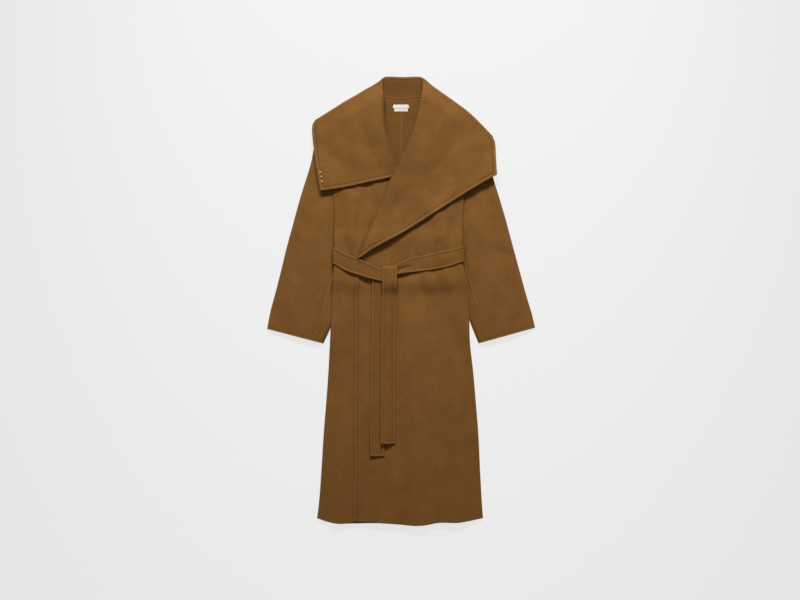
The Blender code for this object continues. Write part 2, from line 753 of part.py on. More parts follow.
def collar_wing(
    name, wing_hem, side_edge, roll, roll_side, slope, wing_top, height, lying_on, rows, parted=None,
):
    """A wing of the collar, rolled over at the neck and front edge and folded down over the shoulder.

    It is one piece of cloth. Where `parted` names a row, it is in two solids, below and above that row.
    """
    roll_line = moved_in(smooth(points(roll)), roll_side * ROLL_IN)[::-1]
    roll_line = np.concatenate([roll_line[roll_line[:, 1] < wing_top[1] - CORNER_GAP], [wing_top]])
    slope_line = moved_in(smooth(points(slope)), -roll_side * SLOPE_IN)[::-1]
    clear = np.abs(slope_line[:, 0]) > abs(wing_top[0]) + CORNER_GAP
    slope_line = np.concatenate([slope_line[clear], [wing_top]])
    side_line = smooth(points(side_edge))[::-1]
    columns = even(13)
    shares = even(rows)
    if parted:
        gap = WING_PARTING / 2 * np.array([-1, 1])
        shares = np.concatenate([shares[:parted], shares[parted] + gap, shares[parted + 1 :]])
        rows += 1
    low = spaced(smooth(points(wing_hem)), columns)
    high = spaced(slope_line, columns)
    plan = patch(low, high, spaced(side_line, shares), spaced(roll_line, shares), columns, shares)
    grid = at_height(plan, height)
    edge = grid[:, -1]
    rolled = turned_under(grid, np.maximum(edge[:, 2] - lying_on(edge[:, 0], edge[:, 1]), ROLL_DROP), LIP)
    folded = swapped(turned_under(swapped(grid), grid[-1, :, 2] - CLOTH / 2, LIP))
    whole = np.zeros((folded.shape[0], rolled.shape[1], 3))
    whole[:rows] = rolled
    whole[rows:, : grid.shape[1]] = folded[rows:]
    left_out = np.zeros(np.array(whole.shape[:2]) - 1, dtype=bool)
    left_out[rows - 1 :, grid.shape[1] - 1 :] = True
    if parted:
        cloth(name, whole[: parted + 1])
        cloth(name + "_top", whole[parted + 1 :], left_out=left_out[parted + 1 :])
    else:
        cloth(name, whole, left_out=left_out)


def collar_stand():
    """The stand at the back neck, folded over at its top to the fall behind."""
    high = np.stack([STAND_TOP["across"], LENGTH - (STEP + CLOTH) / 2 - STAND_TOP["down"]], axis=1)
    right = np.concatenate([points(STAND_RIGHT), high[:1]])
    left = np.concatenate([points(STAND_LEFT), high[-1:]])
    columns = even(12)
    rows = even(5)
    ends = spaced(smooth(right), rows), spaced(smooth(left), rows)
    low = spaced(smooth(points(STAND_SEAM)), columns)
    plan = patch(low, spaced(smooth(high), columns), *ends, columns, rows)
    grid = at_height(plan, back)
    cloth("collar_stand", swapped(turned_under(swapped(grid), STEP, STAND_LIP)))


def collar_fall():
    """The fall of the collar behind the back, flat on the surface."""
    inset = SLOPE_IN + LIP + 2 * SEAM
    right = moved_in(smooth(points(SLOPE_RIGHT)), inset)[::-1]
    left = moved_in(smooth(points(SLOPE_LEFT)), -inset)[::-1]
    right = right[right[:, 1] > FALL_EDGE["up"][0]]
    left = left[left[:, 1] > FALL_EDGE["up"][-1]]
    across = np.linspace(right[0, 0], left[0, 0], 60)
    low = np.stack([across, fall_edge(across)], axis=1)
    top = LENGTH - (STEP + CLOTH) / 2 - STAND_LIP - SEAM
    ends_in = np.array([FALL_IN, 0.0, -FALL_IN])
    high = smooth(np.stack([STAND_TOP["across"] + ends_in, top - STAND_TOP["down"]], axis=1))
    columns = even(17)
    rows = even(7)
    ends = spaced(right, rows), spaced(left, rows)
    plan = patch(spaced(low, columns), spaced(high, columns), *ends, columns, rows)
    cloth("collar_back", at_height(plan, lambda across, up: np.full_like(across, CLOTH / 2)))


def ribbon(rows, stations, moved=0.0):
    """Grid along a length of belt, whose first end is `moved` along: rows run from one edge to the other."""
    line = np.stack(list(rows.values()), axis=1)
    line[0, 0] += moved
    along, first, last = spaced(smooth(line), even(stations)).T
    share = even(5)
    edges = first[:, None] + (last - first)[:, None] * share
    run = np.broadcast_to(along[:, None], edges.shape)
    return np.stack([run, edges] if "across" in rows else [edges, run], axis=2)


def turned_start(grid, drop, lip):
    """A length of belt with its first end turned under."""
    return swapped(turned_under(swapped(grid[::-1]), drop, lip, 5))


def belt():
    """The belt: behind the back, its two runs round the sides, and its two tails."""
    ends = []
    for name, rows, stations in (("belt_run_right", RUN_RIGHT, 13), ("belt_run_left", RUN_LEFT, 17)):
        side = np.sign(rows["across"][0])
        middle = (rows["top"][0] + rows["bottom"][0]) / 2
        drop = belt_run(rows["across"][0], middle) - belt_behind(rows["across"][0], middle)
        inset = (drop + BELT_THICK) / 2
        grid = at_height(ribbon(rows, stations, -side * inset), belt_run)
        cloth(name, turned_start(grid, drop, LIP), BELT_BROWN, BELT_THICK)
        across = rows["across"][0] - side * (inset + LIP + SEAM)
        ends.append(np.array([(across, rows["bottom"][0]), (across, rows["top"][0])]))
    right, left = [spaced(end, even(4)) for end in ends]
    columns = even(20)
    bottom = spaced(np.array([right[0], left[0]]), columns)
    top = spaced(np.array([right[-1], left[-1]]), columns)
    plan = patch(bottom, top, right, left, columns, even(4))
    cloth("belt_back", at_height(plan, belt_behind), BELT_BROWN, BELT_THICK)

    grid = at_height(ribbon(FRONT_TAIL, 24, -(BELT_STEP + BELT_THICK / 2)), front_tail)
    cloth("belt_front_tail", turned_start(grid, 2 * BELT_STEP, TAIL_LIP), BELT_BROWN, BELT_THICK)
    cloth("belt_back_tail", at_height(ribbon(BACK_TAIL, 26), back_tail), BELT_BROWN, BELT_THICK)


def on_back(across, up):
    """Middle height of a label that lies on the back."""
    return back(across, up) + CLOTH / 2 + SEAM + LABEL_THICK / 2


def labels():
    """The label and the tab, each a thin woven strip."""
    for name, size in LABELS.items():
        half = size["half_width"]
        middle = (size["top"] + size["bottom"]) / 2
        low = np.array([(-half, size["bottom"]), (half, size["bottom"])])
        high = np.array([(-half, size["top"]), (half, size["top"])])
        start = np.array([(-half, size["bottom"]), (-half - size["point"], middle), (-half, size["top"])])
        columns = even(7)
        low, high = spaced(low, columns), spaced(high, columns)
        plan = patch(low, high, start, start * (-1, 1), columns, even(3))
        cloth(name, at_height(plan, on_back), LABEL_WHITE, LABEL_THICK)


back_half("back_right", "right", NECK_RIGHT, SHOULDER_RIGHT)
back_half("back_left", "left", NECK_LEFT, SHOULDER_LEFT)
front_half(
    "front_right", "right", HIDDEN_EDGE, ROLL_RIGHT, -1, SHOULDER_RIGHT, under_front,
    lambda across: 0.0,
)
front_half(
    "front_left", "left", OVER_EDGE, ROLL_LEFT, 1, SHOULDER_LEFT, over_front,
    lambda across: OVER_SHORT * rise(across, *OVER_SHORT_ACROSS),
)
sleeve("sleeve_right", SLEEVE_RIGHT)
sleeve("sleeve_left", SLEEVE_LEFT)
collar_wing(
    "collar_right", WING_HEM_RIGHT, WING_SIDE_RIGHT, ROLL_RIGHT, -1, SLOPE_RIGHT, WING_TOP_RIGHT,
    right_wing, under_front, 14, parted=9,
)
collar_wing(
    "collar_left", WING_HEM_LEFT, WING_SIDE_LEFT, ROLL_LEFT, 1, SLOPE_LEFT, WING_TOP_LEFT,
    left_wing, over_front, 20,
)
collar_stand()
collar_fall()
belt()
labels()
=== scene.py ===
import math
import random

import bmesh
import bpy
import numpy as np
from mathutils import Matrix, Vector


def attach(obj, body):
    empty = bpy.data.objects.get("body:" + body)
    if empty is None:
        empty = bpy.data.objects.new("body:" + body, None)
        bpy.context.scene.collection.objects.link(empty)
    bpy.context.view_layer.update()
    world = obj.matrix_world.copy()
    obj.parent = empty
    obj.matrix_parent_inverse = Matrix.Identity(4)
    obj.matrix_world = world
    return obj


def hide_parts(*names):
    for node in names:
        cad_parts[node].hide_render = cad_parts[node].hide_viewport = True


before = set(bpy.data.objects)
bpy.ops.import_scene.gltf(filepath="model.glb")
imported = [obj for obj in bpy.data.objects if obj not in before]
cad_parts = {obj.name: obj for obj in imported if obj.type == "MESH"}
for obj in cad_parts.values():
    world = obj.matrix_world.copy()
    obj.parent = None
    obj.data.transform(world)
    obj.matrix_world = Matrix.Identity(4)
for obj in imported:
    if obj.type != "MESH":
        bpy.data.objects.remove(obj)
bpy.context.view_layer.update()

# ---------------------------------------------------------------------------------------------------
# The back: two halves of double-faced wool, joined by a seam down the centre and laid flat with the
# right side down. It passes over the tucked parts of the sleeves, the belt and the collar's fall, so
# it rises a little there.

# Sizes are millimetres: "across" from the centre back to the wearer's left, "up" from the lowest
# point of the hem, and heights above the surface.
LENGTH = 1253.0
CLOTH = 2.2
AIR = 1.0  # the least room between two layers that lie on each other
SEAM = 0.3  # gap between two pieces where they are sewn together
STEP = CLOTH + AIR
BACK_SEAM = 1.4  # where the centre seam runs, across
SIDE_TURN = 4.0  # height by which a front turns down to the back at its side
WAIST = 754.0
KNOT_LOW = 688.0
BELT_WIDTH = 42.0
BELT_THICK = 4.0
BELT_STEP = BELT_THICK + AIR
SLEEVE_EDGE = 3.2  # from the middle of a sleeve's lower layer to that of its upper one at the edge
SLEEVE_LIFT = SLEEVE_EDGE + CLOTH + AIR
DRAPE = 45.0  # length over which cloth comes down off what it lies on
PAST = 15.0  # and how far it runs on level first
LIP = 3.0  # cloth that runs on past a turned edge
TURN_IN = (SIDE_TURN + CLOTH) / 2
HEM_BACK = 5.0  # up, where the hem is at the centre back
BACK_SHORT = 2.0  # how much shorter the back is than the front
UNDERARM = 985.0
TURN_END = UNDERARM - 30  # where the turned side ends, below the armhole
BODY_TOP = 1186.0
OFF_SLEEVES_AT_UNDERARM = (985, 952)  # up, where what lies on the tucked sleeves comes down off them
OFF_SLEEVES_AT_CUFF = (440, 520)

EDGE_STEPS = (0.0, 1.6, 3.6, 5.8, 7.6, 9.0, 10.6, 14.0, 19.0)  # columns beside a stitched edge
SEAM_STEPS = (0.0, 0.9, 2.2, 3.6, 5.4, 8.0)  # and beside a seam
STITCH_COLUMN = 5
MOST_FOR_STEPS = 0.7  # share of a short row that these columns may take
CURVE_POINTS = 40  # of a smooth curve, for each of its corners
LINE_STEP = 1.5  # between the points to which a distance from a line is measured
LINE_PART = 60  # of which so many are taken at once
FADE_FROM = 1.5  # in half widths of a fold, where it starts to fade at its ends
FADE_OVER = 3.0
# Where these shares thicken the cloth it is painted paler, as rubbed nap and highlight; where they thin
# it, darker as shade.
EDGE_FULL = 0.32  # share of the cloth's thickness that an edge gains between its fold and its stitching
STITCH_DEEP = 0.50  # and that the stitching takes
SEAM_FULL = 0.65  # share that a felled seam gains
LAPPED = 0.4  # width by which the two halves of the back overlap
JOIN_DEEP = 0.42  # share that a piece loses where it joins another edge to edge, painted darker there as shade
ROLL_PRESSED_AND_SHADED = 0.4  # share that the cloth loses where it rolls over at the neck, and painted darker there as shade
MOST_FULL = 1.7  # the thickest that cloth gets anywhere, as a share


def table(columns, *rows):
    """Rows of numbers as one array for each named column."""
    return dict(zip(columns.split(), np.array(rows, dtype=float).T))


def outline(*rows):
    """Points of a line in plan, each across and up."""
    return table("across up", *rows)


def creases(*rows):
    """Folds, each with where it runs from and to, half its width and its height."""
    return table("from_across from_up to_across to_up half_width height", *rows)


SIDES = table(
    "up right left",
    (20, -234.5, 229),
    (60, -229.5, 226),
    (150, -222.5, 221),
    (255, -216, 216),
    (355, -208, 208),
    (425, -203, 202),
    (515, -198, 192),
    (590, -195, 190),
    (680, -191, 182),
    (712, -188, 176),
    (738, -186, 171),
    (780, -186, 171),
    (840, -187, 172),
    (885, -187, 174),
    (930, -189, 176),
    (985, -195, 182),
)
HEM_POINTS = 60
HEM = outline(
    (-234.5, 20), (-216, 13), (-186, 6), (-134, 5.5), (-59, 6.5), (0, 3), (34, 0), (72, 2), (98, 7),
    (165, 9), (202, 15), (229, 21),
)
FALL_EDGE = outline((-233, 1114), (-150, 1062), (0, 1034), (150, 1058), (236, 1099))
SHOULDER_RIGHT = outline((-60, 1192), (-150, 1150), (-231.5, 1104))
SHOULDER_LEFT = outline((63, 1196), (150, 1146), (235.5, 1088))
NECK_RIGHT = outline((1.4, 1187), (-20, 1188.2), (-44, 1192.2), (-60, 1192.6))
NECK_LEFT = outline((1.4, 1187), (16, 1188), (36, 1191.4), (52, 1194.2), (63, 1193.8))

SLEEVE_RIGHT = table(
    "outer_across outer_up inner_across inner_up fill pressed",
    (-374, 548.5, -216.5, 507.5, 6.5, 1.00),
    (-364, 600, -194.5, 556, 8.0, 1.00),
    (-350, 652, -181, 600, 8.5, 0.93),
    (-335, 711, -166, 650, 8.5, 0.84),
    (-322, 765, -149, 708, 8.0, 0.76),
    (-304, 832, -136, 780, 7.5, 0.68),
    (-288.5, 889, -133, 840, 6.5, 0.66),
    (-273, 942, -142, 886, 5.5, 0.68),
    (-259, 985, -163, 920, 4.5, 0.80),
    (-249, 1021, -192, 947, 3.0, 1.00),
    (-241, 1064, -196, 967, 2.5, 1.00),
    (-232.4, 1104, -194.4, 984, 2.0, 1.00),
)
SLEEVE_LEFT = table(
    "outer_across outer_up inner_across inner_up fill pressed",
    (374.5, 552, 216.5, 508, 6.5, 1.00),
    (365, 592, 198.5, 552, 8.0, 1.00),
    (350, 642, 182, 596, 8.5, 0.95),
    (336, 693, 166, 646, 8.5, 0.84),
    (319, 755, 146, 705, 8.0, 0.78),
    (304, 811, 131, 775, 7.0, 0.72),
    (288, 870, 126, 835, 6.0, 0.70),
    (272, 923, 132, 880, 5.0, 0.68),
    (258, 969, 150, 912, 4.5, 0.80),
    (251, 1008, 178, 946, 3.0, 1.00),
    (246, 1050, 183, 967, 2.5, 1.00),
    (236.5, 1088, 181.4, 984, 2.0, 1.00),
)

# Creases of the back, which show from below: shallow, where the cloth isn't pressed to the surface.
BACK_CREASES = creases(
    (-150, 40, -138, 420, 13, 1.7),
    (-62, 180, -74, 560, 10, 1.2),
    (58, 60, 46, 330, 12, 1.5),
    (148, 250, 162, 600, 11, 1.6),
    (118, 820, 96, 1000, 9, 1.3),
    (-96, 800, -84, 930, 8, 1.5),
    (-30, 850, -44, 1010, 9, 0.9),
)


def rise(value, start, end):
    """0 before `start`, 1 past `end`, and a smooth slope between them, in either order."""
    share = np.clip((value - start) / (end - start), 0.0, 1.0)
    return share * share * (3.0 - 2.0 * share)


def band(value, low, high, slope):
    """1 between `low` and `high`, with a smooth slope outside them."""
    return rise(value, low - slope, low) * rise(value, high + slope, high)


def read(rows, key, value, column):
    """The column's value where the key column has the given value, straight between rows."""
    order = np.argsort(rows[key])
    return np.interp(value, rows[key][order], rows[column][order])


def folds(rows, across, up):
    """Height that the folds add: soft ridges and valleys along straight lines, faded at both ends."""
    total = np.zeros_like(across)
    for row in range(len(rows["height"])):
        start = np.array([rows["from_across"][row], rows["from_up"][row]])
        run = np.array([rows["to_across"][row], rows["to_up"][row]]) - start
        length = np.hypot(*run)
        along = ((across - start[0]) * run[0] + (up - start[1]) * run[1]) / length
        aside = ((across - start[0]) * run[1] - (up - start[1]) * run[0]) / length
        width = rows["half_width"][row]
        fade = band(along, FADE_FROM * width, length - FADE_FROM * width, FADE_OVER * width)
        total += rows["height"][row] * fade * np.exp(-((aside / width) ** 2))
    return total


def smooth(corners):
    """Many points of a smooth curve through the given ones."""
    spans = np.linalg.norm(np.diff(corners, axis=0), axis=1)
    marks = np.concatenate([[0], np.cumsum(spans)])
    slopes = np.gradient(corners, marks, axis=0)
    fine = np.linspace(0, marks[-1], CURVE_POINTS * len(marks))
    index = np.clip(np.searchsorted(marks, fine, side="right") - 1, 0, len(spans) - 1)
    span = spans[index][:, None]
    share = (fine - marks[index])[:, None] / span
    start = corners[index]
    end = corners[index + 1]
    towards_end = share * share * (3 - 2 * share)
    leaving = share * (1 - share) ** 2 * slopes[index] * span
    arriving = share * share * (share - 1) * slopes[index + 1] * span
    return start * (1 - towards_end) + end * towards_end + leaving + arriving


def travelled(curve):
    """How far along the curve each of its points is."""
    return np.concatenate([[0], np.cumsum(np.linalg.norm(np.diff(curve, axis=0), axis=1))])


def spaced(curve, shares):
    """The curve's points at the given shares of its length."""
    marks = travelled(curve)
    return np.stack([np.interp(shares * marks[-1], marks, column) for column in curve.T], axis=1)


def even(count):
    """That many shares from 0 to 1, the same distance apart."""
    return np.linspace(0, 1, count)


def points(rows):
    """A table's plan points."""
    return np.stack([rows["across"], rows["up"]], axis=1)


def pinned(curve, first, last):
    """The curve moved so that it starts and ends at the given points."""
    share = even(len(curve))[:, None]
    return curve + (1 - share) * (first - curve[0]) + share * (last - curve[-1])


def patch(low, high, start, end, columns, rows):
    """Grid of plan points between four borders: rows go from low to high, columns from start to end."""
    v = rows[:, None, None]
    u = columns[None, :, None]
    low_start = (low[0] + start[0]) / 2
    low_end = (low[-1] + end[0]) / 2
    high_start = (high[0] + start[-1]) / 2
    high_end = (high[-1] + end[-1]) / 2
    between_rows = (1 - v) * pinned(low, low_start, low_end) + v * pinned(high, high_start, high_end)
    first = pinned(start, low_start, high_start)[:, None]
    last = pinned(end, low_end, high_end)[:, None]
    between_columns = (1 - u) * first + u * last
    corners = (1 - v) * ((1 - u) * low_start + u * low_end) + v * ((1 - u) * high_start + u * high_end)
    return between_rows + between_columns - corners


def respaced(grid, count, start=(0.0,), end=(0.0,)):
    """The grid with each row's points at the given distances from its ends, and `count` between."""
    rows = []
    for row in grid:
        length = travelled(row)[-1]
        room = min(1.0, MOST_FOR_STEPS * length / max(start[-1] + end[-1], 1.0))
        first = np.array(start) * room
        last = length - np.array(end)[::-1] * room
        between = np.linspace(first[-1], last[0], count + 2)[1:-1]
        rows.append(spaced(row, np.concatenate([first, between, last]) / length))
    return np.stack(rows)


def at_height(grid, height):
    """The plan points, each with the height that the function gives there."""
    return np.concatenate([grid, height(grid[..., 0], grid[..., 1])[..., None]], axis=2)


def from_line(grid, line):
    """Distance in plan of each of the grid's points from a line."""
    fine = spaced(line, even(int(travelled(line)[-1] / LINE_STEP) + 2))
    nearest = np.full(grid.shape[:2], np.inf)
    for part in np.array_split(fine, len(fine) // LINE_PART + 1):
        gaps = grid[..., None, :2] - part[None, None]
        nearest = np.minimum(nearest, np.sqrt((gaps**2).sum(-1)).min(-1))
    return nearest


def tucked(rows, across, up, side, off):
    """1 where a sleeve lies under the body, with a slope inwards of it and one between `off`."""
    inner = side * read(rows, "inner_up", up, "inner_across")
    lifted = rise(side * across, inner - PAST - DRAPE, inner - PAST)
    return lifted * rise(up, *off) * rise(up, *OFF_SLEEVES_AT_CUFF)


def on_sleeves(across, up, off=OFF_SLEEVES_AT_UNDERARM):
    """Height at which what lies on the surface and on the tucked sleeves starts."""
    right = tucked(SLEEVE_RIGHT, across, up, -1, off)
    return SLEEVE_LIFT * (right + tucked(SLEEVE_LEFT, across, up, 1, off))


def fall_edge(across):
    """Up, where the collar's fall behind the back ends."""
    line = smooth(points(FALL_EDGE))
    return np.interp(across, line[:, 0], line[:, 1])


def back(across, up, off=OFF_SLEEVES_AT_UNDERARM):
    """Middle height of the back as what lies on it sees it."""
    belt = band(up, KNOT_LOW, WAIST + BELT_WIDTH / 2 + PAST, DRAPE)
    fall = rise(up, fall_edge(across) - PAST - DRAPE, fall_edge(across) - PAST)
    return on_sleeves(across, up, off) + BELT_STEP * belt + STEP * fall + CLOTH / 2


def creased_back(across, up):
    """Middle height of the back with its creases."""
    return back(across, up) + folds(BACK_CREASES, across, up)


def linear(colour):
    """An sRGB hex colour as linear red, green, blue and alpha."""
    shares = [int(colour[place : place + 2], 16) / 255 for place in (1, 3, 5)]
    return [s / 12.92 if s <= 0.04045 else ((s + 0.055) / 1.055) ** 2.4 for s in shares] + [1.0]


def add(tree, kind, settings=None, **links):
    """A node of that kind with its settings, whose inputs take a value or another node's output.

    An input is named in full with _ for a space, or by its number after a _.
    """
    node = tree.nodes.new(kind)
    for name, value in (settings or {}).items():
        setattr(node, name, value)
    for name, value in links.items():
        socket = node.inputs[int(name[1:]) if name[0] == "_" else name.replace("_", " ")]
        if isinstance(value, bpy.types.NodeSocket):
            tree.links.new(value, socket)
        else:
            socket.default_value = value
    return node


def finish(name, **settings):
    """A new material whose shader has these settings all over, with its node tree and the shader."""
    made = bpy.data.materials.new(name)
    made.use_nodes = True
    shader = made.node_tree.nodes["Principled BSDF"]
    for socket, value in settings.items():
        shader.inputs[socket.replace("_", " ")].default_value = value
    return made, made.node_tree, shader


def felted_wool(name, light, dark, rubbed_and_highlight_colour):
    """Milled and brushed double-faced wool: no weave shows, but a short nap lies down the length.

    The nap gives the eye a soft, slightly cloudy matt brown with a faint sheen at a low angle, fine
    streaks down the cloth, and small specks where fibres felt together.
    """
    made, tree, shader = finish(
        name, Specular_IOR_Level=0.15, Sheen_Weight=0.10, Sheen_Roughness=0.5,
        Sheen_Tint=linear("#D9A55E"),
    )
    place = add(tree, "ShaderNodeTexCoord").outputs["Object"]
    # Clouds about 40 mm across, where the cloth was pressed and handled.
    cloud = add(tree, "ShaderNodeTexNoise", Vector=place, Scale=24.0, Detail=3.0, Roughness=0.55)
    # Patches about 5 mm across, from how the fibres lie.
    patchy = add(tree, "ShaderNodeTexNoise", Vector=place, Scale=210.0, Detail=4.0, Roughness=0.6)
    # Nap: streaks 1 mm wide and 5 mm long. Real ones are half as wide, drawn coarser so that they show.
    along = add(tree, "ShaderNodeMapping", Vector=place, Scale=(1.0, 0.22, 1.0)).outputs[0]
    nap = add(tree, "ShaderNodeTexNoise", Vector=along, Scale=950.0, Detail=3.0, Roughness=0.65)
    # Felted specks under 1 mm.
    speck = add(tree, "ShaderNodeTexNoise", Vector=place, Scale=1700.0, Detail=2.0, Roughness=0.7)
    mixed = cloud.outputs["Fac"]
    for share, finer in ((0.45, patchy), (0.42, nap)):
        mixed = add(
            tree, "ShaderNodeMix", {"data_type": "FLOAT"},
            _0=share, _2=mixed, _3=finer.outputs["Fac"],
        ).outputs[0]
    spread = add(tree, "ShaderNodeMapRange", Value=mixed, From_Min=0.33, From_Max=0.67)
    colour = add(
        tree, "ShaderNodeMix", {"data_type": "RGBA"},
        _0=spread.outputs[0], _6=linear(dark), _7=linear(light),
    )
    # Where an edge or seam is thick it is paler: its nap rubbed pale, and a painted highlight on the
    # ridge.
    # Where it is thin, in the stitching's channel, beside seams, at joins and where it rolls over, it
    # is painted dark brown as shade.
    full = add(tree, "ShaderNodeAttribute", {"attribute_name": "fullness"}).outputs["Fac"]
    for tint, low, high, most in ((rubbed_and_highlight_colour, 1.12, 1.60, 0.72), ("#3B2510", 0.95, 0.60, 0.52)):
        share = add(tree, "ShaderNodeMapRange", Value=full, From_Min=low, From_Max=high, To_Max=most)
        colour = add(
            tree, "ShaderNodeMix", {"data_type": "RGBA"},
            _0=share.outputs[0], _6=colour.outputs[2], _7=linear(tint),
        )
    tree.links.new(colour.outputs[2], shader.inputs["Base Color"])
    rough = add(
        tree, "ShaderNodeMath", {"operation": "MULTIPLY_ADD"},
        _0=speck.outputs["Fac"], _1=0.10, _2=0.85,
    )
    tree.links.new(rough.outputs[0], shader.inputs["Roughness"])
    under = {}
    for relief, strength, deep in ((speck, 0.35, 0.0004), (nap, 0.5, 0.0005), (patchy, 0.35, 0.0009)):
        bump = add(
            tree, "ShaderNodeBump",
            Height=relief.outputs["Fac"], Strength=strength, Distance=deep, **under,
        )
        under = {"Normal": bump.outputs[0]}
    tree.links.new(bump.outputs[0], shader.inputs["Normal"])
    return made


# The same wool painted a little darker than the outer face, as shade, for the back and the stand.
SHADED_WOOL = felted_wool("felted_wool_painted_shade", "#63421A", "#513311", "#7D5627")


def placed(name, mesh, material):
    """The bmesh as an object in the scene, in one material."""
    data = bpy.data.meshes.new(name)
    mesh.to_mesh(data)
    mesh.free()
    data.materials.append(material)
    made = bpy.data.objects.new(name, data)
    bpy.context.scene.collection.objects.link(made)
    return made


def laid_cloth(
    name, grid, node, material,
    edges=(), stitch_at=EDGE_STEPS[STITCH_COLUMN], edge_full=EDGE_FULL, stitch_deep=STITCH_DEEP,
    seams=(), joins=(), rolls=(), thickness=CLOTH, left_out=None,
):
    """A sheet of cloth about a grid of middle points, on its solid's form and in its place.

    It is full along its stitched edges, thin in the channel of the stitching, raised at its felled
    seams, sunk where it joins another piece edge to edge, and pressed thin where it rolls over. Its
    full places are painted paler, as rubbed nap and painted highlight, and its thin ones darker, as
    painted shade.
    """
    rows, columns = grid.shape[:2]
    full = np.ones(grid.shape[:2])
    for lines, hump, hump_at, hump_width, dip, dip_at, dip_width in (
        (edges, edge_full, stitch_at * 0.5, 3.0, stitch_deep, stitch_at, 1.5),
        (seams, SEAM_FULL, 0.0, 1.8, SEAM_FULL / 3, 4.2, 1.3),
        (joins, SEAM_FULL / 2, 3.2, 1.7, JOIN_DEEP, 0.0, 1.0),
        (rolls, 0.0, 0.0, 1.0, ROLL_PRESSED_AND_SHADED, 0.0, 4.4),
    ):
        if lines:
            away = np.min([from_line(grid, line) for line in lines], axis=0)
            full += hump * np.exp(-(((away - hump_at) / hump_width) ** 2))
            full -= dip * np.exp(-(((away - dip_at) / dip_width) ** 2))
    mesh = bmesh.new()
    bmesh.ops.create_grid(mesh, x_segments=columns - 1, y_segments=rows - 1, size=1.0)
    mesh.verts.ensure_lookup_table()
    place = grid.reshape(-1, 3) / 1000
    place[:, 1] -= LENGTH / 2000
    place[:, 2] = np.maximum(place[:, 2], full.ravel() * thickness / 2000)
    for vertex, point in zip(mesh.verts, place):
        vertex.co = point
    fullness = mesh.verts.layers.float.new("fullness")
    for vertex, share in zip(mesh.verts, full.ravel()):
        vertex[fullness] = share
    if left_out is not None:
        mesh.faces.ensure_lookup_table()
        gone = [mesh.faces[index] for index in np.nonzero(left_out.ravel())[0]]
        bmesh.ops.delete(mesh, geom=gone, context="FACES")
    loose = [vertex for vertex in mesh.verts if not vertex.link_faces]
    bmesh.ops.delete(mesh, geom=loose, context="VERTS")
    mesh.normal_update()
    if mesh.faces[:][0].normal.z < 0:
        bmesh.ops.reverse_faces(mesh, faces=mesh.faces[:])
    made = placed(name, mesh, material)
    data = made.data
    data.shade_smooth()
    shares = np.zeros(len(data.vertices), np.float32)
    data.attributes["fullness"].data.foreach_get("value", shares)
    group = made.vertex_groups.new(name="wall")
    for vertex, share in enumerate(shares):
        group.add([vertex], float(share) / MOST_FULL, "REPLACE")
    wall = made.modifiers.new("wall", "SOLIDIFY")
    wall.thickness = thickness * MOST_FULL / 1000
    wall.offset = 0.0
    wall.vertex_group = "wall"
    rounded = made.modifiers.new("rounded", "SUBSURF")
    rounded.levels = rounded.render_levels = 1
    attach(made, "root")
    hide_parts(*node.split())


def hem(start, end, short):
    """The hem line between two places across, with how much shorter this piece is."""
    line = smooth(points(HEM))
    across = np.linspace(start, end, HEM_POINTS)
    return np.stack([across, np.interp(across, line[:, 0], line[:, 1]) + short(across)], axis=1)


def side_and_armhole(side, moved, shoulder):
    """A body panel's outer border, `moved` in from the side edge, up to the shoulder."""
    sign = np.sign(SIDES[side][0])
    line = smooth(np.stack([SIDES[side], SIDES["up"]], axis=1))
    inset = TURN_IN + (moved - TURN_IN) * rise(line[:, 1], UNDERARM, TURN_END)
    line[:, 0] -= sign * inset
    return np.concatenate([line, [[shoulder["across"][-1], shoulder["up"][-1]]]])


BORDER_POINTS = 28
BACK_COLUMNS = 22
LEVEL = (60, 900)  # up, where a body panel's rows run level
# Up, where those rows are: about 10 mm apart in the skirt and 6.5 mm at the waist, closer at both ends.
BODY_ROWS = np.concatenate([
    EDGE_STEPS, np.linspace(26, 640, 62), np.linspace(648, 880, 36),
    np.linspace(889, BODY_TOP - 16, 31), BODY_TOP - np.array(SEAM_STEPS[::-1]),
])


def by_level(curve):
    """The curve's points on the body's rows."""
    up = np.interp(BODY_ROWS, (0, *LEVEL, BODY_TOP), (curve[0, 1], *LEVEL, curve[-1, 1]))
    return np.stack([np.interp(up, curve[:, 1], curve[:, 0]), up], axis=1)


def body_plan(bottom, top, inner, outer, count, start, end):
    """Plan of a body panel from its four borders, with columns from the inner one to the outer."""
    shares = even(BORDER_POINTS)
    low, high = spaced(bottom, shares), spaced(top, shares)
    plan = patch(low, high, by_level(inner), by_level(outer), shares, BODY_ROWS / BODY_TOP)
    return respaced(plan, count, start, end)


for name, side, neck, shoulder in (
    ("back_right", "right", NECK_RIGHT, SHOULDER_RIGHT),
    ("back_left", "left", NECK_LEFT, SHOULDER_LEFT),
):
    sign = np.sign(SIDES[side][0])
    centre = BACK_SEAM - sign * LAPPED / 2
    outer = side_and_armhole(side, TURN_IN + LIP + SEAM, shoulder)
    top = np.concatenate([smooth(points(neck)), smooth(points(shoulder))[1:]])
    seam = np.array([[centre, HEM_BACK], [centre, neck["up"][0]]])
    bottom = hem(centre, outer[0, 0], lambda across: BACK_SHORT)
    plan = body_plan(bottom, top, seam, outer, BACK_COLUMNS, SEAM_STEPS, SEAM_STEPS)
    laid_cloth(
        name + "_cloth", at_height(plan, creased_back), name, SHADED_WOOL,
        seams=(seam,), joins=(smooth(points(neck)),),
    )

# ---------------------------------------------------------------------------------------------------
# The sleeves: each of two pieces of the same wool, with a lapped seam near the inner edge that shows
# and a plain one under the outer edge. They lie flat, the upper layer standing off the lower one.

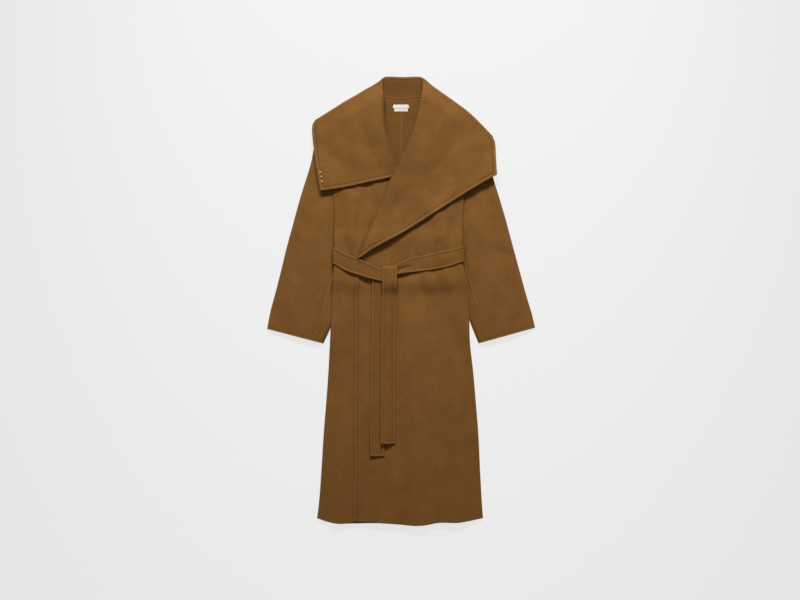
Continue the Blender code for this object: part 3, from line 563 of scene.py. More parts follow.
# The cloth's outer face: a warm mid brown.
COAT_WOOL = felted_wool("felted_coat_wool", "#704B21", "#593915", "#856030")
SLEEVE_SEAM = (0.82, 0.74)  # share of the width at which the seam runs, at the cuff and at the top
SLEEVE_ROUND = (0.85, 0.40)  # how steeply a sleeve rises from its outer edge and from the body's
SLEEVE_FULLEST = 0.457  # the most that the rise below gives, which the table's fill stands for
SLEEVE_CREASED = (0, 0.6)  # share of the rise over which the creases come in
SLEEVE_ROWS = 66
SLEEVE_TURNS = 6  # facets of a sleeve's rounded edge
PAST_CUFF = 22
UNDER_SEAM = 14.0  # where the seam's own columns end on the upper piece
LAP_END = 13.0  # and on the under one
SLEEVE_CREASES = creases(
    (-250, 960, -271, 825, 14, -2.6),
    (-271, 825, -318, 665, 18, -3.0),
    (232, 960, 262, 800, 12, -3.0),
    (262, 800, 300, 640, 20, -2.0),
    (-268, 905, -238, 885, 7, -1.3),
    (-300, 800, -262, 770, 9, -1.5),
    (-322, 700, -290, 668, 8, 1.1),
    (-252, 640, -262, 560, 12, -1.2),
    (246, 900, 274, 880, 8, -1.4),
    (270, 770, 306, 748, 10, -1.3),
    (262, 700, 246, 600, 12, 1.1),
    (322, 640, 334, 572, 12, -1.3),
    (196, 960, 204, 880, 16, -3.0),
    (-214, 950, -222, 880, 13, -2.6),
)
CUFF_STEPS = (0.0, 1.3, 3.0, 4.6, 5.8, 7.0, 9.5, 14.0)
CUFF_STITCH = 5.8


def sleeve_grids(rows):
    """The middle points of a sleeve's upper and under piece, section by section from the cuff up."""
    line = smooth(np.stack(list(rows.values()), axis=1))
    length = travelled(line[:, :2])[-1]
    shares = np.concatenate([CUFF_STEPS, np.linspace(PAST_CUFF, length, SLEEVE_ROWS)]) / length
    marks = travelled(line)
    at = np.interp(shares * length, travelled(line[:, :2]), marks / marks[-1])
    sections = spaced(line, at)
    over, under = [], []
    bend = SLEEVE_EDGE / 2
    inset = bend + CLOTH / 2
    turns = np.linspace(0, np.pi, SLEEVE_TURNS + 1)[1:]
    for seam, section in zip(np.linspace(*SLEEVE_SEAM, len(sections)), sections):
        outer, inner, fill, pressed = section[:2], section[2:4], section[4], section[5]
        width = np.hypot(*(inner - outer))
        way = (inner - outer) / width

        def top(reach):
            plan = outer + reach[:, None] * way
            share = np.clip(reach / width / pressed, 0, 1)
            hump = share ** SLEEVE_ROUND[0] * (1 - share) ** SLEEVE_ROUND[1] / SLEEVE_FULLEST
            relief = folds(SLEEVE_CREASES, plan[:, 0], plan[:, 1]) * rise(hump, *SLEEVE_CREASED)
            lifted = np.maximum(fill * hump + relief, 0.0)
            return np.column_stack([plan, CLOTH / 2 + SLEEVE_EDGE + lifted])

        def bottom(reach):
            plan = outer + reach[:, None] * way
            return np.column_stack([plan, np.full(len(reach), CLOTH / 2)])

        def bent(reach, direction, from_top):
            plan = outer + (reach + direction * bend * np.sin(turns))[:, None] * way
            return np.column_stack([plan, CLOTH / 2 + bend * (1 + from_top * np.cos(turns))])

        split = width * seam
        over.append(np.concatenate([
            top(np.concatenate([
                split - np.array(SEAM_STEPS), np.linspace(split - UNDER_SEAM, inset, 16),
            ])),
            bent(inset, -1, 1),
            bottom(np.array([inset + LIP])),
        ]))
        under.append(np.concatenate([
            bottom(np.linspace(inset + LIP + SEAM, width - inset, 14)),
            bent(width - inset, 1, -1),
            top(np.concatenate([
                np.linspace(width - inset - LIP, split + LAP_END, 4),
                split + 2 * SEAM + np.array(SEAM_STEPS[::-1]),
            ])),
        ]))
    return np.stack(over), np.stack(under)


for side, rows in (("right", SLEEVE_RIGHT), ("left", SLEEVE_LEFT)):
    over, under = sleeve_grids(rows)
    for part, nodes, grid, seam_column, flat, area in (
        ("upper", "sleeve_{0}_upper sleeve_{0}_upper_top", over, 0, (0.17, 0.60), 0.068),
        ("under", "sleeve_{0}_under", under, -1, (0.19, 0.60), 0.082),
    ):
        laid_cloth(
            f"sleeve_{side}_{part}_cloth", grid, nodes.format(side), COAT_WOOL,
            edges=(grid[0, :, :2],), stitch_at=CUFF_STITCH,
            seams=(grid[:, seam_column, :2],),
        )

# ---------------------------------------------------------------------------------------------------
# The fronts, of the same wool and seamed to the back at the shoulders and sides, where they turn
# under. The wearer's right one lies on the back, and the left one laps over it and on the end of its
# collar. Long folds fall from the belt to the hem, and the cloth puckers where the belt draws it in.

OFF_SLEEVES_BRIDGED = (1090, 950)  # up, where a wing comes down off them, stiff over the underarm
CROWN = 4.2  # height by which the fronts stand off the back
CINCHED_CROWN = 0.84  # and where the belt holds them
CINCH_BELOW = 30.0
CINCH_ABOVE = 10.0
CINCH_SLOPE = 60.0
RUNS_MEET = -32  # across, where the belt's two runs meet
RUN_PRESSED = 2  # how far inside a run's edges the fronts are pressed flat
RUN_SLOPE = 7
WING_END_HEIGHT = 10.4  # room that the end of the right wing takes under the left front
NECK_GAP = 4.0  # left between the roll line and the shoulder, so that the border turns smoothly
EDGE_GAP = 6.0  # and between the free edge and the roll line
ROLL_IN = 6.0
CROWN_FROM_SIDE = (4, 58)
FOLDS_FROM_SIDE = (4, 45)
OVER_WING_END_UP = (860, 950)
OVER_WING_END_ACROSS = (100, 20)
OVER_SHORT = 5.7  # how much shorter the over front is at its edge
OVER_SHORT_ACROSS = (-40, -133)
OVER_STITCHED = 722  # up, where the stitching of the over front's edge ends under the belt
FRONT_COLUMNS = 38
TURN_STEPS = 8  # facets of a turned edge
ALONG_EDGE = 6.0  # reach over which an edge's direction is taken
FRONT_EDGE_FULL = 0.2
THREAD_FROM_HEM = 14
THREAD_SUNK = 0.6  # share of the stitching's channel in which the thread lies
STITCH_PITCH = 4.0
STITCH_LENGTH = 3.0
STITCH_UNEVEN = (0.94, 1.04)
STITCH_HALF = (0.30, 0.22)  # half a stitch's width and height

OVER_EDGE = outline((-133.6, 11), (-131.5, 120), (-131, 400), (-129, 560), (-126, 694), (-122, 726))
HIDDEN_EDGE = outline((131, 8), (131, 300), (128, 660), (105, 770), (60, 880), (8, 962))
ROLL_RIGHT = outline(
    (-44, 1253), (-48, 1246), (-48.5, 1224), (-48, 1190), (-49, 1156), (-46, 1116), (-38.5, 1077),
    (-26.5, 1038), (-15, 1011), (3, 980),
)
ROLL_LEFT = outline(
    (54, 1253), (57.5, 1246), (57.5, 1226), (56, 1204), (50.5, 1175), (37, 1116), (15, 1055),
    (-8, 1007), (-32, 962), (-59, 892), (-91, 822), (-111, 775), (-120, 745),
)
FRONT_FOLDS = creases(
    (-180, -60, -168, 330, 24, 7.0),
    (-100, -60, -118, 300, 30, -1.6),
    (48, -60, 28, 600, 30, 6.5),
    (101, -60, 88, 640, 24, -3.0),
    (158, -60, 164, 440, 25, 6.0),
    (-143, 800, -150, 900, 14, 2.0),
    (-117, 790, -112, 905, 12, -2.0),
    (81, 790, 74, 865, 10, -1.8),
    (112, 800, 104, 900, 14, 2.0),
)
FRONT_CREASES = creases(
    (39, 745, 34, 800, 8, -2.6),
    (91, 758, 88, 850, 7, -3.0),
    (104, 775, 103, 850, 5, -1.6),
    (145, 768, 142, 822, 8, -2.6),
    (64, 765, 58, 835, 12, 2.8),
    (122, 772, 118, 840, 11, 2.6),
    (12, 752, 2, 800, 12, 2.0),
    (163, 780, 160, 850, 8, 2.2),
    (76, 705, 80, 655, 12, 4.5),
    (131, 712, 135, 660, 13, 4.5),
    (30, 690, 34, 640, 9, 2.0),
    (85, 765, 83, 850, 5, 2.6),
    (98, 768, 97, 845, 4, 2.4),
    (50, 752, 44, 790, 12, 3.6),
    (-176, 790, -174, 870, 7, 2.6),
    (-142, 775, -140, 860, 7, 2.4),
    (-92, 760, -92, 900, 8, 2.2),
    (-121, 765, -117, 905, 8, -1.6),
    (-158, 762, -151, 800, 8, -2.0),
    (-134, 756, -136, 880, 7, 1.6),
    (-173, 775, -170, 860, 7, 1.5),
    (-94, 840, -88, 935, 10, 1.5),
    (-120, 965, -116, 900, 11, 3.2),
    (-72, 975, -66, 905, 12, 3.0),
    (-168, 950, -160, 890, 12, 2.4),
    (24, 850, 30, 790, 14, 2.2),
    (96, 905, 98, 850, 13, 3.0),
    (140, 930, 141, 860, 11, 2.6),
    (-12, 698, 48, 704, 9, -2.6),
    (-120, 692, -84, 668, 10, -3.0),
    (78, 712, 122, 718, 7, -1.8),
    (88, 715, 92, 590, 8, -2.4),
    (112, 715, 117, 585, 11, 1.6),
    (58, 700, 63, 545, 10, -1.5),
    (150, 720, 152, 600, 9, -1.7),
    (172, 715, 176, 560, 8, 1.4),
    (-150, 712, -153, 610, 9, -1.6),
    (-172, 716, -178, 560, 9, 1.6),
    (-112, 660, -108, 470, 10, 1.1),
    (128, 560, 137, 120, 15, -1.4),
    (187, 640, 197, 230, 10, 1.5),
    (70, 420, 76, -50, 16, 1.3),
    (-16, 600, -24, 150, 17, -1.4),
    (-158, 330, -149, -50, 12, -1.6),
    (-202, 560, -213, 180, 10, 1.4),
    (8, 330, 2, -50, 15, -1.1),
    (-70, 300, -66, -50, 18, 1.2),
)
RUN_RIGHT = table(
    "across top bottom",
    (-191.5, 775, 729),
    (-166, 764, 717),
    (-118, 744.5, 698.5),
    (-74, 725, 686),
    (-54, 716.5, 681.5),
    (-34, 709, 681),
)
RUN_LEFT = table(
    "across top bottom",
    (176.5, 778.5, 735),
    (128, 768, 721),
    (90, 759.5, 714),
    (53, 752, 709),
    (20, 744.5, 705.5),
    (0, 736, 702.5),
    (-8, 731, 701),
    (-31, 720, 694),
)


def clear_of_belt(across, up):
    """0 under the belt's runs and 1 away from them."""
    runs = (RUN_RIGHT, RUN_LEFT)
    low, high = [
        np.where(across < RUNS_MEET, *[read(run, "across", across, edge) for run in runs])
        for edge in ("bottom", "top")
    ]
    return 1 - band(up, low + RUN_PRESSED, high - RUN_PRESSED, RUN_SLOPE)


def loft(across, up, creased):
    """Air between back and fronts past the least that layers keep: little at the sides and belt."""
    from_right = across - read(SIDES, "up", up, "right")
    from_left = read(SIDES, "up", up, "left") - across
    reach = np.minimum(from_right, from_left)
    cinched = band(up, WAIST - CINCH_BELOW, WAIST + CINCH_ABOVE, CINCH_SLOPE)
    crown = (CROWN + (CINCHED_CROWN - CROWN) * cinched) * rise(reach, *CROWN_FROM_SIDE)
    puckers = folds(FRONT_CREASES, across, up) * clear_of_belt(across, up) if creased else 0.0
    relief = (folds(FRONT_FOLDS, across, up) + puckers) * rise(reach, *FOLDS_FROM_SIDE)
    return np.maximum(crown + relief, 0.0) + SIDE_TURN - STEP


def under_front(across, up, creased=True):
    """Middle height of the front on the back, or as a wing sees it, which spans small creases."""
    off = OFF_SLEEVES_AT_UNDERARM if creased else OFF_SLEEVES_BRIDGED
    return back(across, up, off) + STEP + loft(across, up, creased)


def over_front(across, up, creased=True):
    """Middle height of the front that lies on the other one and on the end of its wing."""
    hidden = read(HIDDEN_EDGE, "up", up, "across")
    doubled = STEP * rise(across, hidden + PAST + DRAPE, hidden + PAST)
    over_wing = rise(up, *OVER_WING_END_UP) * rise(across, *OVER_WING_END_ACROSS)
    return under_front(across, up, creased) + doubled + (WING_END_HEIGHT - doubled) * over_wing


def moved_in(curve, distance):
    """The curve moved sideways by `distance`: to its left, or to its right if it is negative."""
    run = np.gradient(curve, axis=0)
    run /= np.linalg.norm(run, axis=1)[:, None]
    return curve + np.reshape(distance, (-1, 1)) * np.stack([-run[:, 1], run[:, 0]], axis=1)


def turned_under(grid, drop, lip=LIP):
    """The grid with columns added past its last one, where it turns down by `drop` and back in."""
    edge = grid[:, -1]
    marks = travelled(edge[:, :2])
    ahead, behind = [
        np.stack([np.interp(marks + way, marks, column) for column in edge[:, :2].T], axis=1)
        for way in (ALONG_EDGE, -ALONG_EDGE)
    ]
    run = ahead - behind
    out = np.stack([run[:, 1], -run[:, 0], np.zeros(len(run))], axis=1)
    out /= np.linalg.norm(out, axis=1)[:, None]
    out *= np.sign(np.sum(out * (edge - grid[:, -4]), axis=1))[:, None]
    down = np.array([0.0, 0.0, -1.0])
    radius = (np.broadcast_to(drop, len(edge)) / 2)[:, None]
    turns = np.linspace(0, np.pi, TURN_STEPS + 1)[1:]
    added = [edge + out * radius * np.sin(turn) + down * radius * (1 - np.cos(turn)) for turn in turns]
    added.append(added[-1] - out * lip)
    return np.concatenate([grid, np.stack(added, axis=1)], axis=1)


def thread_line(grid, column, thickness=CLOTH):
    """Surface points of the stitching's channel along a column of the grid."""
    line = grid[:, column].copy()
    line[:, 2] += thickness / 2 * (1 - THREAD_SUNK * STITCH_DEEP)
    return line


def twisted_thread(name, roughness, twist, dark, light):
    """A thread whose plies' twist is painted on it as short light and dark stretches: painted highlight
    and shade.
    """
    made, tree, shader = finish(name, Roughness=roughness)
    place = add(tree, "ShaderNodeTexCoord").outputs["Object"]
    ply = add(tree, "ShaderNodeTexNoise", Vector=place, Scale=twist, Detail=1.0)
    colour = add(
        tree, "ShaderNodeMix", {"data_type": "RGBA"},
        _0=ply.outputs["Fac"], _6=linear(dark), _7=linear(light),
    )
    tree.links.new(colour.outputs[2], shader.inputs["Base Color"])
    return made


# Three-ply polyester sewing thread dyed to match: a little lighter and glossier than the wool round
# it. Its plies' twist, about 0.6 mm, is drawn at its real size as painted highlight and shade.
COAT_THREAD = twisted_thread("spun_polyester_thread", 0.55, 1600.0, "#5A3A1C", "#8A6236")


def stitch(mesh, spot, run, size):
    """One stitch: a short thread along `run`, rounded off where it sinks in at both ends."""
    made = bmesh.ops.create_icosphere(mesh, subdivisions=1, radius=1.0)["verts"]
    bmesh.ops.scale(mesh, verts=made, vec=[value / 1000 for value in size])
    tilt = -math.atan2(run[2], math.hypot(run[0], run[1]))
    bmesh.ops.rotate(mesh, verts=made, matrix=Matrix.Rotation(tilt, 3, "Y"))
    bmesh.ops.rotate(mesh, verts=made, matrix=Matrix.Rotation(math.atan2(run[1], run[0]), 3, "Z"))
    bmesh.ops.translate(mesh, verts=made, vec=Vector((spot[0], spot[1] - LENGTH / 2, spot[2])) / 1000)


def sewn(name, mesh, thread):
    """The stitches of one mesh as an object of their own."""
    made = placed(name, mesh, thread)
    made.data.shade_smooth()
    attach(made, "root")


def stitching(name, lines):
    """A row of machine stitches along each line."""
    chance = random.Random(name)
    mesh = bmesh.new()
    for line in lines:
        count = int(travelled(line)[-1] / STITCH_PITCH)
        spots = spaced(line, (np.arange(count) + 0.5) / count)
        for spot, run in zip(spots, np.gradient(spots, axis=0)):
            half = STITCH_LENGTH * chance.uniform(*STITCH_UNEVEN) / 2
            stitch(mesh, spot, run, (half, *STITCH_HALF))
    sewn(name, mesh, COAT_THREAD)


def front_cloth(name, side, edge, roll, roll_side, shoulder, height, short, stitched):
    """One front, from its free edge and roll line to the side, where it turns under to the back."""
    down_roll = moved_in(smooth(points(roll)), roll_side * (ROLL_IN + LIP + SEAM))
    up_roll = down_roll[down_roll[:, 1] < shoulder["up"][0] - NECK_GAP][::-1]
    free = smooth(points(edge))
    inner = np.concatenate([free[free[:, 1] < up_roll[0, 1] - EDGE_GAP], up_roll])
    outer = side_and_armhole(side, TURN_IN, shoulder)
    bottom = hem(inner[0, 0], outer[0, 0], short)
    top = smooth(points(shoulder))
    plan = body_plan(bottom, top, inner, outer, FRONT_COLUMNS, EDGE_STEPS, SEAM_STEPS)
    grid = at_height(plan, height)
    folded = turned_under(grid, SIDE_TURN)
    left_out = np.zeros(np.array(folded.shape[:2]) - 1, dtype=bool)
    left_out[grid[1:, -1, 1] > TURN_END, grid.shape[1] - 1 :] = True
    edges = [grid[grid[:, 0, 1] < stitched, 0, :2]] if stitched else []
    laid_cloth(
        name + "_cloth", folded, name, COAT_WOOL,
        edges=edges, edge_full=FRONT_EDGE_FULL,
        left_out=left_out,
    )
    if stitched:
        line = thread_line(grid, STITCH_COLUMN)
        clear = (line[:, 1] < stitched) & (line[:, 1] > THREAD_FROM_HEM)
        stitching(name + "_stitching", [line[clear]])


front_cloth(
    "front_right", "right", HIDDEN_EDGE, ROLL_RIGHT, -1, SHOULDER_RIGHT, under_front,
    lambda across: 0.0, 0,
)
front_cloth(
    "front_left", "left", OVER_EDGE, ROLL_LEFT, 1, SHOULDER_LEFT, over_front,
    lambda across: OVER_SHORT * rise(across, *OVER_SHORT_ACROSS), OVER_STITCHED,
)

# ---------------------------------------------------------------------------------------------------
# The collar, of the same wool: a stand at the back neck whose inside shows, a fall behind the back,
# and a wing on each side, sewn to its front, that rolls over at the neck and folds down over the
# shoulder. The left one runs on as a lapel.

WING_AIR = 3.0  # room under a wing past the least
LAPEL_FULLNESS = 1.5  # height by which a roll stands up, to which a wing adds its own at the neck
NECK_ROLL_UP = (990, 1090)
BESIDE_ROLL = 45.0
LIFT_REACH = 120.0  # how far up from its hem a wing is lifted
SLOPE_HEIGHT = 11.6  # of the fold over the shoulder
BESIDE_FOLD = 56.0  # how far down the wing it is felt
SLOPE_IN = (SLOPE_HEIGHT - CLOTH / 2 + CLOTH) / 2  # half its drop and thickness
ROLL_DROP = 5.0
CORNER_GAP = 2.5
CORNER_REACH = 36.0  # length of a fold over which it thins out towards a corner
CORNER_END = 3.0  # where it is thinnest, from the corner
THIN_FOLD = 2.4  # its inset and drop there
ROLL_STEPS = (0.0, 2.0, 4.5, 8.0)
THREAD_FROM_FOLD = 10  # rows of a wing without stitching beside the fold
STAND_LIP = 2.0
STAND_RISE = 4.0
STAND_RAISED = (-42, 50)
STAND_RAISED_UP = (1192, LENGTH - 4)
STAND_SIDE_SLOPE = 9
STAND_ENDS = (-70, 80)
STAND_STEPS = (0.0, 1.4, 2.8, 4.2, 5.6, 7.4, 10.0, 14.0)
STAND_STITCH = 4.4
STAND_EDGE_FULL = 0.3

STAND_SEAM = outline(
    (-60, 1192.8), (-44, 1192.4), (-20, 1188.4), (1.4, 1187.2), (16, 1188.2), (36, 1191.6),
    (52, 1194.4), (63, 1194),
)
STAND_TOP = table(
    "across down",
    (-56, 7),
    (-50, 2.5),
    (-45, 0.5),
    (-38, 0),
    (6, 1.6),
    (50, 0),
    (57, 0.5),
    (62, 2.5),
    (68, 7),
)
FALL_TOP = table("across down", (-36, 0), (6, 1.5), (48, 0))
STAND_RIGHT = outline((-60, 1192.8), (-59, 1222))
STAND_LEFT = outline((63, 1194), (66, 1222))

# Each wing's borders in plan: the roll, the fold over the shoulder, the outer edge and the hem; then
# how far the hem is lifted, and the wing's folds. "fullness" is how much more it stands up at the neck.
RIGHT_WING = {
    "name": "collar_right", "nodes": "collar_right collar_right_top", "lying_on": under_front,
    "rests_on": ["front_right_cloth"], "flat": (0.27, 0.34), "area": 0.066,
    "side": -1, "roll": ROLL_RIGHT, "fullness": 7.5, "top": (-51, 1245), "middle_lines": (24, 36),
    "slope": outline(
        (-40, 1253), (-50, 1248.5), (-63, 1238), (-104, 1214), (-126, 1200.5), (-150, 1187),
        (-185, 1165), (-224, 1140), (-241, 1129),
    ),
    "side_edge": outline(
        (-241, 1129), (-246.5, 1122), (-248.3, 1112), (-247.5, 1088), (-243.5, 1049), (-235, 992),
        (-225, 933),
    ),
    "hem": outline((-225, 933), (-165, 942), (-87, 959), (-32, 971), (3, 980)),
    "lift": table(
        "across lift", (-225, 2), (-195, 5), (-165, 2), (-140, 1), (-115, 2.5), (-80, 4), (-58, 2),
        (-44, 0),
    ),
    "folds": creases(
        (-185, 1135, -150, 1060, 24, -2.8),
        (-108, 1090, -85, 1020, 22, -2.6),
        (-140, 1120, -110, 1000, 20, 2.5),
        (-215, 1040, -205, 960, 18, 2.0),
        (-109, 1118, -88, 1044, 9, -1.5),
        (-92, 1052, -72, 1020, 8, -1.4),
        (-186, 1088, -181, 1008, 9, -1.1),
        (-62, 1130, -66, 1060, 9, 1.0),
        (-160, 1010, -148, 958, 11, -1.1),
        (-48, 1020, -60, 985, 9, -0.9),
    ),
}
LEFT_WING = {
    "name": "collar_left", "nodes": "collar_left", "lying_on": over_front,
    "rests_on": ["front_left_cloth"], "flat": (0.40, 0.52), "area": 0.115,
    "side": 1, "roll": ROLL_LEFT, "fullness": 4.0, "top": (60, 1246.5), "middle_lines": (38, 50),
    "slope": outline(
        (50, 1253), (60, 1250), (71, 1242), (81.5, 1232), (106, 1214), (148, 1184), (188, 1154),
        (227, 1116), (256.5, 1084),
    ),
    "side_edge": outline((256.5, 1084), (261, 1076), (263.5, 1063), (264.5, 1035), (267, 978)),
    "hem": outline((267, 978), (220, 952), (113, 886), (6, 819), (-101, 759), (-120, 745)),
    "lift": table(
        "across lift", (-120, 1.5), (-101, 4.5), (-60, 7), (6, 7), (60, 5), (113, 3), (160, 3.5),
        (200, 6), (267, 6),
    ),
    "folds": creases(
        (160, 1110, 110, 1000, 24, -2.9),
        (0, 905, -45, 850, 16, -2.2),
        (210, 1070, 190, 985, 20, 3.0),
        (85, 1090, 40, 970, 24, 3.0),
        (158, 1072, 100, 1000, 10, -1.5),
        (78, 985, 62, 930, 12, -1.3),
        (-4, 925, -22, 868, 9, -1.2),
        (232, 1050, 226, 980, 10, -1.0),
        (128, 1130, 96, 1090, 9, 1.1),
        (140, 960, 152, 915, 10, 1.0),
        (-60, 842, -80, 792, 9, 0.9),
        (-70, 858, -103, 770, 4.5, -1.5),
    ),
}


def swapped(grid):
    """The same grid with its rows as columns."""
    return np.swapaxes(grid, 0, 1)


def wing(cut, across, up):
    """Middle height of a wing: full at its roll, lifted along its hem, low at its shoulder fold."""
    from_roll = np.abs(across - read(cut["roll"], "up", up, "across"))
    most = LAPEL_FULLNESS + cut["fullness"] * rise(up, *NECK_ROLL_UP)
    fullness = most * np.exp(-((from_roll / BESIDE_ROLL) ** 2))
    below = cut["lying_on"](across, up, False)
    lying = below + STEP + WING_AIR + fullness + folds(cut["folds"], across, up)
    edge = read(cut["hem"], "across", across, "up")
    lying += read(cut["lift"], "across", across, "lift") * rise(up, edge + LIFT_REACH, edge)
    fold = read(cut["slope"], "across", across, "up")
    turning = rise(up, fold - BESIDE_FOLD, fold)
    return lying * (1 - turning) + SLOPE_HEIGHT * turning


def thinned(line, full, corners):
    """`full` along a folded edge, thinning out towards the given corners."""
    away = np.min([np.linalg.norm(line[:, :2] - corner, axis=1) for corner in corners], axis=0)
    return full + (THIN_FOLD - full) * rise(away, CORNER_REACH, CORNER_END)


def collar_wing(cut):
    """A wing of the collar, rolled over at neck and front edge and folded down over the shoulder."""
    side, top = cut["side"], cut["top"]
    rolling, folding = smooth(points(cut["roll"])), smooth(points(cut["slope"]))
    roll_line = moved_in(rolling, side * thinned(rolling, ROLL_IN, [top]))[::-1]
    roll_line = np.concatenate([roll_line[roll_line[:, 1] < top[1] - CORNER_GAP], [top]])
    slope_line = moved_in(folding, -side * thinned(folding, SLOPE_IN, [top, folding[-1]]))[::-1]
    clear = np.abs(slope_line[:, 0]) > abs(top[0]) + CORNER_GAP
    slope_line = np.concatenate([slope_line[clear], [top]])
    side_line = smooth(points(cut["side_edge"]))[::-1]
    columns, rows = even(40), even(60)
    low, high = spaced(smooth(points(cut["hem"])), columns), spaced(slope_line, columns)
    plan = patch(low, high, spaced(side_line, rows), spaced(roll_line, rows), columns, rows)
    plan = respaced(plan, cut["middle_lines"][0], EDGE_STEPS, ROLL_STEPS)
    plan = swapped(respaced(swapped(plan), cut["middle_lines"][1], EDGE_STEPS, ROLL_STEPS))
    grid = at_height(plan, lambda across, up: wing(cut, across, up))
    rows, columns = grid.shape[:2]
    edge, fold = grid[:, -1], grid[-1]
    roll_drop = np.maximum(edge[:, 2] - cut["lying_on"](edge[:, 0], edge[:, 1]), ROLL_DROP)
    rolled = turned_under(grid, thinned(edge, roll_drop, [top]))
    fold_drop = thinned(fold, fold[:, 2] - CLOTH / 2, [top, fold[0, :2]])
    folded = swapped(turned_under(swapped(grid), fold_drop))
    whole = np.zeros((folded.shape[0], rolled.shape[1], 3))
    whole[:rows] = rolled
    whole[rows:, :columns] = folded[rows:]
    whole[rows:, columns:] = grid[-1, -1]
    left_out = np.zeros(np.array(whole.shape[:2]) - 1, dtype=bool)
    left_out[rows - 1 :, columns - 1 :] = True
    laid_cloth(
        cut["name"] + "_cloth", whole, cut["nodes"], COAT_WOOL,
        edges=(grid[:, 0, :2], grid[0, :, :2]), rolls=(rolling,),
        left_out=left_out,
    )
    stitching(cut["name"] + "_stitching", [
        thread_line(grid, STITCH_COLUMN)[STITCH_COLUMN:-THREAD_FROM_FOLD],
        thread_line(swapped(grid), STITCH_COLUMN)[STITCH_COLUMN:],
    ])


collar_wing(RIGHT_WING)
collar_wing(LEFT_WING)

# Three tacks of undyed cotton hold the right wing's outer edge down, each a few turns of thread wide.
TACKS = outline((-224.4, 985.2), (-222.2, 972.5), (-220.2, 959.8))
TACK_RUN = (1.0, -2.6, 0.0)
TACK_SIZE = (3.2, 0.58, 0.45)
TACK_TURNS = (-1.1, 0.0, 1.1)
TACK_LEAN = 0.38  # which sets the turns side by side across their run
TACK_PROUD = 0.2
FULL_AT_TACK = 0.6  # share of the edge's fullness that is left where the tacks are
# Soft cotton in loose plies: a pale cream, matt and slightly uneven, its twist painted as highlight and
# shade.
TACK_THREAD = twisted_thread("undyed_cotton_thread", 0.85, 1400.0, "#BC9E70", "#DCC498")
tack_mesh = bmesh.new()
for across, up in points(TACKS):
    for turn in TACK_TURNS:
        spot = np.array([across + turn, up + turn * TACK_LEAN])
        surface = wing(RIGHT_WING, spot[None, :1], spot[None, 1:])[0, 0]
        height = surface + CLOTH / 2 * (1 + EDGE_FULL * FULL_AT_TACK)
        stitch(tack_mesh, (*spot, height + TACK_PROUD), TACK_RUN, TACK_SIZE)
sewn("collar_tacks", tack_mesh, TACK_THREAD)

top = LENGTH - (STEP + STAND_RISE + CLOTH) / 2
high = np.stack([STAND_TOP["across"], top - STAND_TOP["down"]], axis=1)
columns, rows = even(30), even(12)
right = spaced(smooth(np.concatenate([points(STAND_RIGHT), high[:1]])), rows)
left = spaced(smooth(np.concatenate([points(STAND_LEFT), high[-1:]])), rows)
low = spaced(smooth(points(STAND_SEAM)), columns)
plan = patch(low, spaced(smooth(high), columns), right, left, columns, rows)
plan = swapped(respaced(swapped(plan), 5, SEAM_STEPS, STAND_STEPS))
stand = at_height(plan, back)
raised = rise(plan[..., 1], *STAND_RAISED_UP) * band(plan[..., 0], *STAND_RAISED, STAND_SIDE_SLOPE)
stand[..., 2] += STAND_RISE * raised
laid_cloth(
    "collar_stand_cloth", swapped(turned_under(swapped(stand), stand[-1, :, 2] - CLOTH / 2, STAND_LIP)),
    "collar_stand", SHADED_WOOL,
    edges=(np.array([(end, top) for end in STAND_ENDS]),), stitch_at=STAND_STITCH,
    edge_full=STAND_EDGE_FULL, joins=(stand[0, :, :2],),
)

inset = SLOPE_IN + LIP + 2 * SEAM
right = moved_in(smooth(points(RIGHT_WING["slope"])), inset)[::-1]
left = moved_in(smooth(points(LEFT_WING["slope"])), -inset)[::-1]
right = right[right[:, 1] > FALL_EDGE["up"][0]]
left = left[left[:, 1] > FALL_EDGE["up"][-1]]
across = np.linspace(right[0, 0], left[0, 0], 60)
top = LENGTH - (STEP + CLOTH) / 2 - STAND_LIP - SEAM
high = smooth(np.stack([FALL_TOP["across"], top - FALL_TOP["down"]], axis=1))
columns, rows = even(48), even(22)
low = spaced(np.stack([across, fall_edge(across)], axis=1), columns)
plan = patch(low, spaced(high, columns), spaced(right, rows), spaced(left, rows), columns, rows)
fall = at_height(plan, lambda across, up: np.full_like(across, CLOTH / 2))
laid_cloth(
    "collar_fall_cloth", fall, "collar_back", COAT_WOOL,
    edges=(fall[0, :, :2],),
)

# ---------------------------------------------------------------------------------------------------
# The label: a woven tape with its ends folded to a point, and a small tab below it, both bare and
# tacked to the back below the neck seam by their ends.

LABEL_THICK = 0.8
LABEL_TURNED = 3.0  # tape turned in along its long edges
LABELS = {
    "label": {"top": 1174.4, "bottom": 1162.6, "half_width": 20.2, "point": 3.4},
    "label_tab": {"top": 1162.2, "bottom": 1155.0, "half_width": 19.2, "point": 0.0},
}

# Polyester satin tape: smooth and white, with fine threads across it that show as a faint rib.
LABEL_TAPE, label_tree, label_shader = finish(
    "woven_label_tape", Base_Color=linear("#B9B7B0"), Roughness=0.55,
)
label_place = add(label_tree, "ShaderNodeTexCoord").outputs["Object"]
label_rib = add(
    label_tree, "ShaderNodeTexWave", {"bands_direction": "Y"}, Vector=label_place, Scale=400.0,
)
label_bump = add(
    label_tree, "ShaderNodeBump", Height=label_rib.outputs["Fac"], Strength=0.3, Distance=0.0001,
)
label_tree.links.new(label_bump.outputs[0], label_shader.inputs["Normal"])


def on_back(across, up):
    """Middle height of a label that lies on the back."""
    return back(across, up) + CLOTH / 2 + SEAM + LABEL_THICK / 2


